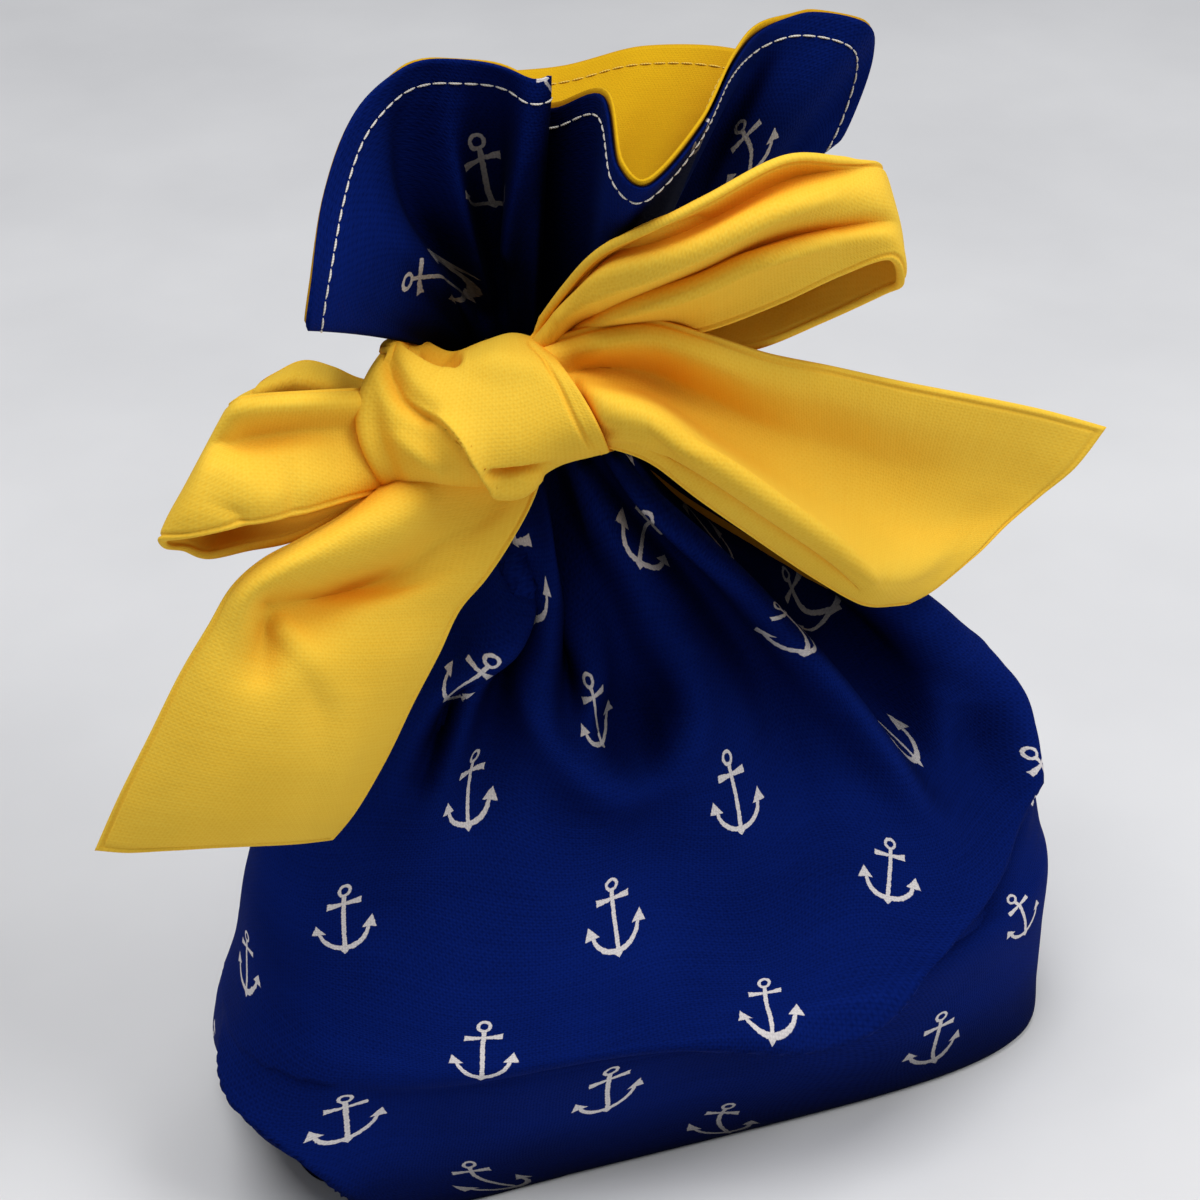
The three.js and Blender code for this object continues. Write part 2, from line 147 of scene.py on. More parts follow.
@dataclass(frozen=True)
class Fold:
    """A ridge, valley or ledge along a path on the cloth.

    Each point of the path is (across, up, height, breadth) in millimetres of the cloth that the
    fold lies on. A height under 0 is a valley. A ledge stands up on the left of its path.
    """

    path: tuple[tuple[float, float, float, float], ...]
    shape: FoldShape = FoldShape.SOFT
    lean: float = 0.0

    def profile(self, ratio: np.ndarray, side: np.ndarray) -> np.ndarray:
        """How high the fold stands away from its path, as a share of its height.

        Args:
            ratio: the distance from the path, counted in breadths.
            side: 1 on the left of the path and -1 on its right.

        Returns:
            A share for each point.
        """
        if self.shape is FoldShape.SOFT:
            return np.exp(-(ratio**2))
        if self.shape is FoldShape.SHARP:
            return np.exp(-(np.sqrt(ratio**2 + 0.04) - 0.2) * 1.6)
        return smooth(0.5 + side * ratio) * np.exp(-np.maximum(side * ratio, 0) / 3)


def catmull(rows: np.ndarray, places: np.ndarray, closed: bool = False) -> np.ndarray:
    """Smooth curve through rows of numbers.

    Args:
        rows: one row of numbers for each place 0, 1, 2 and so on.
        places: where along the rows to read them.
        closed: whether the last row leads back to the first.

    Returns:
        One row for each place.
    """
    rows = np.asarray(rows, float)
    count = len(rows)
    last = count - (0 if closed else 1)
    first = np.clip(np.floor(places).astype(int), 0, last - 1)
    t = (places - first)[:, None]
    if closed:
        a, b, c, d = (rows[(first + k) % count] for k in (-1, 0, 1, 2))
    else:
        a, b, c, d = (rows[np.clip(first + k, 0, count - 1)] for k in (-1, 0, 1, 2))
    bend = 2 * a - 5 * b + 4 * c - d + t * (3 * (b - c) + d - a)
    return b + 0.5 * t * (c - a + t * bend)


def smooth(value: np.ndarray) -> np.ndarray:
    """Ease from 0 to 1 as value goes from 0 to 1."""
    x = np.clip(value, 0.0, 1.0)
    return x * x * (3 - 2 * x)


def unit(vectors: np.ndarray) -> np.ndarray:
    """The same directions with length 1."""
    return vectors / np.maximum(np.linalg.norm(vectors, axis=-1, keepdims=True), 1e-9)


def slopes(points: np.ndarray, round_it: bool) -> tuple[np.ndarray, np.ndarray]:
    """Steps along a grid of points, up its rows and along its columns.

    Args:
        points: rows by columns by three.
        round_it: whether the columns close on themselves.

    Returns:
        The step from row to row, and the step from column to column.
    """
    up = np.gradient(points, axis=0)
    if not round_it:
        return up, np.gradient(points, axis=1)
    return up, (np.roll(points, -1, axis=1) - np.roll(points, 1, axis=1)) / 2


def fold_heights(folds: tuple[Fold, ...], across: np.ndarray, up: np.ndarray) -> tuple:
    """How far folds lift each point of a cloth, and how far they push it sideways.

    Args:
        folds: the folds of this cloth.
        across: where each point lies across the cloth.
        up: where each point lies up the cloth.

    Returns:
        The lift, and the two parts of the push, each shaped like across.
    """
    lift = np.zeros_like(across)
    push = np.zeros((2, *across.shape))
    for fold in folds:
        rows = np.array(fold.path, float)
        line = catmull(rows, np.linspace(0, len(rows) - 1, 8 * len(rows)))
        reach = 6 * rows[:, 3].max()
        near = (across > line[:, 0].min() - reach) & (across < line[:, 0].max() + reach)
        near &= (up > line[:, 1].min() - reach) & (up < line[:, 1].max() + reach)
        if not near.any():
            continue
        x, y = across[near], up[near]
        best = np.full(x.shape, np.inf)
        side, height, breadth = np.zeros_like(x), np.zeros_like(x), np.ones_like(x)
        normal = np.zeros((2, len(x)))
        for a, b in zip(line[:-1], line[1:]):
            step = b[:2] - a[:2]
            length = max(float(np.hypot(*step)), 1e-6)
            share = np.clip(((x - a[0]) * step[0] + (y - a[1]) * step[1]) / length**2, 0, 1)
            dx, dy = x - a[0] - share * step[0], y - a[1] - share * step[1]
            distance = np.hypot(dx, dy)
            closer = distance < best
            best = np.where(closer, distance, best)
            left = step[0] * dy - step[1] * dx
            side = np.where(closer, np.sign(left), side)
            height = np.where(closer, a[2] + share * (b[2] - a[2]), height)
            breadth = np.where(closer, a[3] + share * (b[3] - a[3]), breadth)
            normal = np.where(closer, np.array([[-step[1]], [step[0]]]) / length, normal)
        profile = fold.profile(best / breadth, side)
        lift[near] += height * profile
        push[:, near] += fold.lean * height * profile * normal
    return lift, push


def press(points: np.ndarray, folds: tuple, across: np.ndarray, up: np.ndarray,
          round_it: bool, share: np.ndarray | float = 1.0) -> np.ndarray:
    """Press folds into a cloth.

    Args:
        points: the cloth, rows by columns by three.
        folds: the folds to press in.
        across: where each point lies across the cloth.
        up: where each point lies up the cloth.
        round_it: whether the columns close on themselves.
        share: how much of the folds each point takes, from 0 to 1.

    Returns:
        The folded cloth, lifted towards the side that mostly faces the camera.
    """
    if not folds:
        return points
    lift, push = fold_heights(folds, across, up)
    lift, push = lift * share, push * share
    rise, run = slopes(points, round_it)
    outward = unit(np.cross(run, rise))
    if not round_it and ((outward @ VIEW.axes()[2]) * np.abs(lift)).sum() < 0:
        outward = -outward
    return (
        points
        + outward * lift[..., None]
        + unit(run) * push[0][..., None]
        + unit(rise) * push[1][..., None]
    )


def plate_bend(squares: np.ndarray) -> np.ndarray:
    """How a thin plate bends away from a pin, over the square of the distance."""
    return squares * np.log(squares + 1e-9)


def thin_plate(pins: np.ndarray, moves: np.ndarray, places: np.ndarray,
               slack: float) -> np.ndarray:
    """Spread the moves of some places smoothly over a cloth.

    Args:
        pins: the places that are moved, one row each.
        moves: how far each is moved.
        places: where to read the spread.
        slack: how loosely the pins hold.

    Returns:
        A move for each place, fading out where no pin is near.
    """
    count = len(pins)
    squares = ((pins[:, None] - pins[None]) ** 2).sum(axis=-1)
    plane = np.column_stack([np.ones(count), pins])
    system = np.block([[plate_bend(squares) + slack * np.eye(count), plane],
                       [plane.T, np.zeros((3, 3))]])
    weights = np.linalg.solve(system, np.vstack([moves, np.zeros((3, 2))]))
    spots = places.reshape(-1, 2)
    far = ((spots[:, None] - pins[None]) ** 2).sum(axis=-1)
    slant = np.column_stack([np.ones(len(spots)), spots])
    spread = plate_bend(far) @ weights[:count] + slant @ weights[count:]
    fade = smooth(1.4 - np.sqrt(far.min(axis=1)) / 60)
    return (spread * fade[:, None]).reshape(places.shape)


class Facets:
    """Faces of one mesh, gathered in millimetres and handed to Blender in metres."""

    def __init__(self) -> None:
        """Start with nothing."""
        self.points: list[np.ndarray] = []
        self.faces: list[tuple[int, ...]] = []
        self.uvs: list[tuple[tuple[float, float], ...]] = []
        self.count = 0

    def add_points(self, points: np.ndarray) -> np.ndarray:
        """Add rows of points without faces, and give the index of each."""
        rows, columns = points.shape[:2]
        index = self.count + np.arange(rows * columns).reshape(rows, columns)
        self.points.append(points.reshape(-1, 3))
        self.count += rows * columns
        return index

    def add_grid(self, points: np.ndarray, uv: np.ndarray, round_it: bool = False,
                 flip: bool = False) -> np.ndarray:
        """Add a grid of quads.

        Args:
            points: rows by columns by three.
            uv: rows by columns by two, with one more column where the grid closes on itself.
            round_it: whether the last column joins the first.
            flip: whether the faces look the other way.

        Returns:
            The index of each point.
        """
        index = self.add_points(points)
        self.join(index, uv, round_it, flip)
        return index

    def join(self, index: np.ndarray, uv: np.ndarray, round_it: bool, flip: bool) -> None:
        """Add quads between points that are already there.

        Args:
            index: rows by columns of point numbers.
            uv: the place of each point on the cloth.
            round_it: whether the last column joins the first.
            flip: whether the faces look the other way.
        """
        wide = np.concatenate([index, index[:, :1]], axis=1) if round_it else index
        corners = [wide[:-1, :-1], wide[:-1, 1:], wide[1:, 1:], wide[1:, :-1]]
        places = [uv[:-1, :-1], uv[:-1, 1:], uv[1:, 1:], uv[1:, :-1]]
        if flip:
            corners.reverse()
            places.reverse()
        self.faces.append(np.stack(corners, axis=-1).reshape(-1, 4))
        self.uvs.append(np.stack(places, axis=-2).reshape(-1, 4, 2))

    def fan(self, ring: np.ndarray, uv: np.ndarray, middle: np.ndarray, flip: bool) -> None:
        """Close a ring of points about its middle.

        Args:
            ring: the point numbers round the ring.
            uv: the place of each ring point on the cloth.
            middle: the middle point.
            flip: whether the faces look the other way.
        """
        centre = self.count
        self.points.append(middle.reshape(1, 3))
        self.count += 1
        following = np.roll(ring, -1)
        place = uv.mean(axis=0)
        corners = [ring, following, np.full_like(ring, centre), np.full_like(ring, centre)]
        places = [uv, np.roll(uv, -1, axis=0), np.tile(place, (len(ring), 1))]
        places.append(places[2])
        if flip:
            corners[0], corners[1] = corners[1], corners[0]
            places[0], places[1] = places[1], places[0]
        self.faces.append(np.stack(corners, axis=-1))
        self.uvs.append(np.stack(places, axis=1))

    def to_object(self, name: str, material: bpy.types.Material) -> bpy.types.Object:
        """Make the Blender object.

        Args:
            name: the piece's name.
            material: its finish.

        Returns:
            The object, with smooth faces and a map of its cloth in millimetres.
        """
        points = np.concatenate(self.points) * METRES
        faces = np.concatenate(self.faces)
        uvs = np.concatenate(self.uvs)
        triangle = faces[:, 2] == faces[:, 3]
        sizes = np.where(triangle, 3, 4)
        keep = np.ones(faces.shape, bool)
        keep[triangle, 3] = False
        loops = faces[keep]
        places = uvs[keep]
        starts = np.concatenate([[0], np.cumsum(sizes)[:-1]])
        mesh = bpy.data.meshes.new(name)
        mesh.vertices.add(len(points))
        mesh.vertices.foreach_set("co", points.ravel())
        mesh.loops.add(len(loops))
        mesh.loops.foreach_set("vertex_index", loops.astype(np.int32))
        mesh.polygons.add(len(faces))
        mesh.polygons.foreach_set("loop_start", starts.astype(np.int32))
        layer = mesh.uv_layers.new(name=UV_NAME)
        layer.data.foreach_set("uv", places.ravel())
        mesh.polygons.foreach_set("use_smooth", np.ones(len(faces), bool))
        mesh.update(calc_edges=True)
        mesh.validate()
        mesh.materials.append(material)
        piece = bpy.data.objects.new(name, mesh)
        bpy.context.scene.collection.objects.link(piece)
        return piece


def add_node(tree: bpy.types.NodeTree, kind: str, inputs: dict | tuple = (), **settings):
    """Add a node with its settings and links.

    Args:
        tree: the node tree.
        kind: Blender's name of the node.
        inputs: values or sockets, by the input's place or name.
        settings: the node's own settings.

    Returns:
        The node.
    """
    node = tree.nodes.new(kind)
    for key, value in settings.items():
        setattr(node, key, value)
    pairs = inputs.items() if isinstance(inputs, dict) else enumerate(inputs)
    for key, value in pairs:
        if isinstance(value, bpy.types.NodeSocket):
            tree.links.new(value, node.inputs[key])
        else:
            node.inputs[key].default_value = value
    return node


def calculate(tree: bpy.types.NodeTree, formula):
    """Lay out a formula as nodes.

    Args:
        tree: the node tree.
        formula: a number, a socket, or an operation's name followed by its own formulas.

    Returns:
        The number or the socket that holds the result.
    """
    if not isinstance(formula, tuple):
        return formula
    operation, *terms = formula
    values = [calculate(tree, term) for term in terms]
    return add_node(tree, "ShaderNodeMath", values, operation=operation).outputs[0]


def linear(colour: str) -> tuple[float, float, float, float]:
    """Turn an sRGB hex colour such as 14225E into linear red, green, blue and alpha."""
    shares = [int(colour[k : k + 2], 16) / 255 for k in (0, 2, 4)]
    red, green, blue = (
        c / 12.92 if c <= 0.04045 else ((c + 0.055) / 1.055) ** 2.4 for c in shares
    )
    return red, green, blue, 1.0


@dataclass(frozen=True)
class AnchorPrint:
    """White pigment print: small anchors in a half-drop repeat, drawn from simple shapes."""

    ink: str = "E4DEDC"
    repeat: float = 50.8
    shift: tuple[float, float] = (218.5, 99.5)
    ring_at: float = 7.1
    ring_radius: float = 1.15
    line: float = 0.33
    bar_at: float = 4.0
    bar_half: float = 3.7
    arm_radius: float = 5.3
    arm_at: float = -1.7
    foot: float = -8.5
    top: float = 8.6
    side: float = 9.0

    def node(self, column: int, row: int) -> np.ndarray:
        """The middle of an anchor, counted in half repeats across and up the cloth."""
        return np.array(self.shift) + np.array([column, row]) * self.repeat / 2

    @staticmethod
    def away(x, y, level: float) -> tuple:
        """The formula of the distance from the point of the anchor's axis at a level."""
        return ("SQRT", ("ADD", ("POWER", x, 2.0), ("POWER", ("SUBTRACT", y, level), 2.0)))

    def coverage(self, tree: bpy.types.NodeTree, across, up, wobble):
        """How much ink lies at each point.

        Args:
            tree: the node tree.
            across: the socket with the place across the cloth in millimetres.
            up: the socket with the place up the cloth.
            wobble: a socket that shakes the outline a little.

        Returns:
            A socket that is 1 in the ink and 0 outside it.
        """
        half = self.repeat / 2
        across = calculate(tree, ("SUBTRACT", across, self.shift[0]))
        up = calculate(tree, ("SUBTRACT", up, self.shift[1]))
        column = calculate(tree, ("FLOOR", ("ADD", ("DIVIDE", across, half), 0.5)))
        x = ("ABSOLUTE", ("SUBTRACT", across, ("MULTIPLY", column, half)))
        x = calculate(tree, x)
        drop = ("MULTIPLY", ("FLOORED_MODULO", column, 2.0), half)
        lifted = ("ADD", ("ADD", up, drop), half)
        y = calculate(tree, ("SUBTRACT", ("FLOORED_MODULO", lifted, self.repeat), half))

        from_ring = ("ABSOLUTE", ("SUBTRACT", self.away(x, y, self.ring_at), self.ring_radius))
        ring = ("SUBTRACT", from_ring, self.line)
        top = self.ring_at - self.ring_radius
        shank = ("MAXIMUM", ("SUBTRACT", x, self.line + 0.12),
                 ("MAXIMUM", ("SUBTRACT", y, top), ("SUBTRACT", self.foot + 1.0, y)))
        flare = ("ADD", ("MULTIPLY", x, 0.11), self.line)
        bar = ("MAXIMUM", ("SUBTRACT", ("ABSOLUTE", ("SUBTRACT", y, self.bar_at)), flare),
               ("SUBTRACT", x, self.bar_half))
        from_arm = ("ABSOLUTE", ("SUBTRACT", self.away(x, y, self.arm_at), self.arm_radius))
        swell = ("MULTIPLY", ("SUBTRACT", self.arm_at, y), 0.045)
        arm = ("SUBTRACT", from_arm, ("ADD", swell, self.line - 0.03))
        arm = ("MAXIMUM", arm, ("SUBTRACT", y, self.arm_at - 0.4))
        crown = ("MAXIMUM", ("SUBTRACT", ("MULTIPLY", x, 1.15), ("SUBTRACT", y, self.foot)),
                 ("SUBTRACT", y, self.foot + 1.9))
        tip = (self.arm_radius + 0.75, self.arm_at + 1.3)
        barb = ("MAXIMUM", ("SUBTRACT", ("ADD", x, ("MULTIPLY", y, 0.28)), tip[0] + tip[1] * 0.28),
                ("SUBTRACT", ("SUBTRACT", y, tip[1]), ("MULTIPLY", ("SUBTRACT", x, tip[0]), 1.15)))
        barb = ("MAXIMUM", barb, ("SUBTRACT", ("SUBTRACT", tip[1] - 2.5, y),
                                  ("MULTIPLY", ("SUBTRACT", x, tip[0] - 2.4), 0.12)))
        shape = ring
        for part in (shank, bar, arm, crown, barb):
            shape = ("MINIMUM", shape, part)
        edge = ("ADD", calculate(tree, shape), wobble)
        outside = ("MINIMUM", 1.0, ("ADD", ("MULTIPLY", edge, 9.0), 0.5))
        return calculate(tree, ("SUBTRACT", 1.0, ("SMOOTH_MAX", 0.0, outside, 0.0)))


@dataclass(frozen=True)
class CottonWeave:
    """Plain-woven quilting cotton, dyed and pressed: a matt cloth of fine crossed yarns.

    The eye sees a soft, even colour, a fine grain of yarns over and under each other, thicker
    yarns here and there, and a pale bloom of fibre ends where the cloth turns away. Painted
    shade darkens the colour towards a set colour in folds and hollows, wherever ambient
    occlusion finds cloth close by.
    """

    name: str
    colour: str
    deep: str
    bloom: str
    yarn: float = 0.62  # yarns of 0.3 mm, drawn twice as coarse so that they show
    relief: float = 0.09
    roughness: float = 0.82
    sheen: float = 0.02
    gloss: float = 0.15
    patches: float = 28.0
    painted_fold_shade: str = "000000"  # painted shade: the colour mixed in deep between folds
    painted_shade_reach: float = 0.012  # how far off a fold still darkens its neighbour with painted shade, in metres
    painted_shade_power: float = 1.6
    print: AnchorPrint | None = None

    def build(self) -> bpy.types.Material:
        """Make the material."""
        material = bpy.data.materials.new(self.name)
        material.use_nodes = True
        tree = material.node_tree
        tree.nodes.clear()
        cloth = add_node(tree, "ShaderNodeUVMap", uv_map=UV_NAME).outputs[0]
        parts = add_node(tree, "ShaderNodeSeparateXYZ", (cloth,))
        across, up = parts.outputs[0], parts.outputs[1]

        waver = add_node(tree, "ShaderNodeTexNoise", {"Vector": cloth, "Scale": 0.9, "Detail": 2.0})
        bend = calculate(tree, ("MULTIPLY", ("SUBTRACT", waver.outputs[0], 0.5), 0.35))
        pitch = math.pi / self.yarn
        warp = calculate(tree, ("MULTIPLY", ("ADD", across, bend), pitch))
        weft = calculate(tree, ("MULTIPLY", ("ADD", up, bend), pitch))
        over = ("MULTIPLY", ("SINE", warp), ("SINE", weft))
        ridges = ("MULTIPLY", ("ABSOLUTE", ("SINE", ("ADD", warp, math.pi / 2))),
                  ("ABSOLUTE", ("SINE", ("ADD", weft, math.pi / 2))))
        weave = calculate(tree, ("ADD", ("MULTIPLY", over, 0.35), ridges))

        slub = add_node(tree, "ShaderNodeVectorMath", {0: cloth, 1: (0.05, 1.7, 0.0)},
                        operation="MULTIPLY").outputs[0]
        thick = add_node(tree, "ShaderNodeTexNoise", {"Vector": slub, "Scale": 1.0, "Detail": 3.0})
        grain = add_node(tree, "ShaderNodeTexNoise", {"Vector": cloth, "Scale": 1.3, "Detail": 4.0})
        patch = add_node(tree, "ShaderNodeTexNoise",
                         {"Vector": cloth, "Scale": 1.0 / self.patches, "Detail": 2.0})
        shade = ("ADD", ("MULTIPLY", patch.outputs[0], 0.45),
                 ("ADD", ("MULTIPLY", grain.outputs[0], 0.3), ("MULTIPLY", thick.outputs[0], 0.3)))
        shade = calculate(tree, ("ADD", shade, ("MULTIPLY", weave, 0.22)))
        base = add_node(tree, "ShaderNodeMix",
                        {0: shade, 6: linear(self.deep), 7: linear(self.colour)}, data_type="RGBA")
        colour = base.outputs[2]
        if self.print:
            rag = ("MULTIPLY", ("SUBTRACT", grain.outputs[0], 0.5), 0.5)
            ink = self.print.coverage(tree, across, up, calculate(tree, rag))
            worn = calculate(tree, ("MULTIPLY", ink, ("ADD", 0.86, ("MULTIPLY", weave, 0.14))))
            colour = add_node(tree, "ShaderNodeMix",
                              {0: worn, 6: colour, 7: linear(self.print.ink)},
                              data_type="RGBA").outputs[2]
        # Painted shade: the colour is mixed towards the fold-shade colour where ambient occlusion
        # finds cloth close by, so folds and hollows come out darker.
        open_sky = add_node(tree, "ShaderNodeAmbientOcclusion", {"Distance": self.painted_shade_reach},
                            samples=4).outputs["AO"]
        lit = calculate(tree, ("POWER", open_sky, self.painted_shade_power))
        colour = add_node(tree, "ShaderNodeMix", {0: lit, 6: linear(self.painted_fold_shade), 7: colour},
                          data_type="RGBA").outputs[2]
        fuzz = add_node(tree, "ShaderNodeTexNoise", {"Vector": cloth, "Scale": 0.16, "Detail": 5.0})
        height = ("ADD", ("MULTIPLY", weave, self.relief), ("MULTIPLY", fuzz.outputs[0], 0.35))
        bump = add_node(tree, "ShaderNodeBump",
                        {"Strength": 0.55, "Distance": METRES, "Height": calculate(tree, height)})
        surface = add_node(tree, "ShaderNodeBsdfPrincipled", {
            "Base Color": colour,
            "Roughness": self.roughness,
            "IOR": 1.45,
            "Specular IOR Level": self.gloss,
            "Sheen Weight": self.sheen,
            "Sheen Roughness": 0.45,
            "Sheen Tint": linear(self.bloom),
            "Normal": bump.outputs[0],
        })
        add_node(tree, "ShaderNodeOutputMaterial", (surface.outputs[0],))
        return material


@dataclass(frozen=True)
class SpunThread:
    """Spun polyester sewing thread: two twisted plies, a slight gloss and painted shade in their
    grooves.
    """

    name: str
    colour: str
    twist: float = 0.5
    roughness: float = 0.55

    def build(self) -> bpy.types.Material:
        """Make the material."""
        material = bpy.data.materials.new(self.name)
        material.use_nodes = True
        tree = material.node_tree
        tree.nodes.clear()
        cloth = add_node(tree, "ShaderNodeUVMap", uv_map=UV_NAME).outputs[0]
        parts = add_node(tree, "ShaderNodeSeparateXYZ", (cloth,))
        lay = ("ADD", ("DIVIDE", parts.outputs[0], self.twist), parts.outputs[1])
        plies = calculate(tree, ("ABSOLUTE", ("SINE", ("MULTIPLY", lay, math.pi))))
        bump = add_node(tree, "ShaderNodeBump",
                        {"Strength": 0.5, "Distance": 0.15 * METRES, "Height": plies})
        # Painted shade: the colour darkens towards a grey in the grooves between the twisted plies.
        shade = calculate(tree, ("ADD", 0.6, ("MULTIPLY", plies, 0.4)))
        tone = add_node(tree, "ShaderNodeMix",
                        {0: shade, 6: linear("8E8778"), 7: linear(self.colour)}, data_type="RGBA")
        surface = add_node(tree, "ShaderNodeBsdfPrincipled", {
            "Base Color": tone.outputs[2],
            "Roughness": self.roughness,
            "Normal": bump.outputs[0],
        })
        add_node(tree, "ShaderNodeOutputMaterial", (surface.outputs[0],))
        return material


ANCHORS = AnchorPrint()
# Painted shade: each cotton's colour darkens in folds and hollows, the navy to near black and the
# yellows to deep orange.
NAVY_COTTON = CottonWeave("navy_quilting_cotton", "0A2274", "000320", "4464B4", gloss=0.02,
                          painted_fold_shade="000005", painted_shade_reach=0.025, painted_shade_power=2.2,
                          print=ANCHORS)
YELLOW_SASH = CottonWeave("yellow_quilting_cotton", "FAD24A", "EEB320", "FFE9A8", relief=0.05,
                          painted_fold_shade="EC9400", painted_shade_power=0.8)
YELLOW_LINING = CottonWeave("yellow_lining_cotton", "E2B410", "C89408", "FFE9A8", yarn=0.5,
                            relief=0.06, painted_fold_shade="9C6000", painted_shade_reach=0.03, painted_shade_power=2.0)
WHITE_THREAD = SpunThread("white_sewing_thread", "E6E0D6")
YELLOW_THREAD = SpunThread("yellow_sewing_thread", "F4C93C")


BAG_FOLDS = (
    # the ridge down the right of the front, and the deep gather on its far side
    Fold(((246, 158, 2, 5), (250, 148, 4.5, 5), (252, 135, 6, 5), (254, 115, 7, 5.5),
          (260, 98, 7, 6), (266, 86, 5, 6), (272, 76, 1.5, 6))),
    Fold(((262, 156, -2, 5), (266, 142, -3.5, 6), (268, 124, -5, 7), (271, 104, -7, 8),
          (275, 88, -6, 8), (281, 74, -1.5, 7))),
    Fold(((286, 150, 1, 7), (294, 128, 3.5, 9), (298, 108, 4.5, 10), (300, 94, 1.5, 9))),
    # the deep gather in the middle, the ridge on its left and the small pocket below that
    Fold(((200, 160, -3, 4.5), (196, 150, -5, 5), (190, 138, -7.5, 6), (184, 126, -9, 7),
          (178, 112, -4, 6))),
    Fold(((172, 158, 2.5, 5), (167, 148, 6, 6), (160, 136, 7.5, 7), (150, 126, 6, 7),
          (141, 118, 1.5, 6))),
    Fold(((150, 122, -2, 4), (144, 115, -7, 4.5), (142, 105, -4, 5))),
    # the cloth that hangs in a curve between the gathers
    Fold(((166, 124, 1.4, 5), (171, 115, 4.3, 5), (178, 106, 5.4, 5), (187, 99, 5.4, 5.5),
          (198, 95, 4.9, 6), (208, 98, 3.8, 6), (216, 108, 2.7, 6), (220, 122, 1.1, 6))),
    Fold(((188, 112, -1.4, 7), (196, 108, -3.4, 8), (205, 112, -2, 7))),
    # the cloth that hangs over the foot of the bag, from the lower left round to the right side
    Fold(((140, 43, 1.1, 8), (156, 45, 2.8, 7), (181, 47.5, 5.3, 6), (200, 47.5, 7, 5),
          (217, 46, 8.8, 3.6), (241, 43, 8.8, 3.6), (258, 49, 7.4, 4), (272, 54, 5.9, 5),
          (288, 61, 4.2, 5.5), (299, 69, 2.4, 6)), FoldShape.LEDGE, -0.5),
    Fold(((299, 66, 1.8, 5), (301, 76, 4.6, 5), (304, 88, 4.6, 5), (306, 100, 1.8, 5))),
    Fold(((286, 70, -1.8, 8), (291, 84, -5.3, 8), (294, 94, -1.8, 8))),
    # the tuck at the lower left, where the boxed corner turns under
    Fold(((104, 36, 0.5, 4), (112, 33, 3, 3), (121, 30.5, 5, 2.6), (133, 28, 5.5, 2.4),
          (147, 20.5, 5.5, 2.4), (154, 11, 5, 2.4), (160, 3, 3, 2.4)), FoldShape.LEDGE, -0.35),
    Fold(((104, 12, -6, 14), (118, 7, -15, 14), (132, 3, -16, 14), (146, -2, -9, 12))),
    # the ruffle's folds, which fan out from the neck
    Fold(((158, 244, -1.4, 5), (152, 233, -3.4, 5), (148, 220, -4, 5), (151, 207, -4, 4),
          (155, 194, -2.4, 3))),
    Fold(((164, 242, 0.6, 6), (159, 225, 2.6, 5), (157, 210, 2.6, 4), (158, 196, 1.2, 3))),
    Fold(((173, 243, -1.4, 5), (169, 227, -3.8, 5), (166, 211, -4, 4), (164, 194, -2.4, 3))),
    Fold(((181, 242, 1.2, 5), (178, 226, 2.6, 4), (172, 208, 2.4, 4))),
    Fold(((130, 238, 1, 7), (133, 222, 1.8, 6), (138, 206, 1.2, 5))),
    Fold(((292, 236, -1.2, 6), (290, 222, -3, 6), (284, 206, -3, 5))),
)


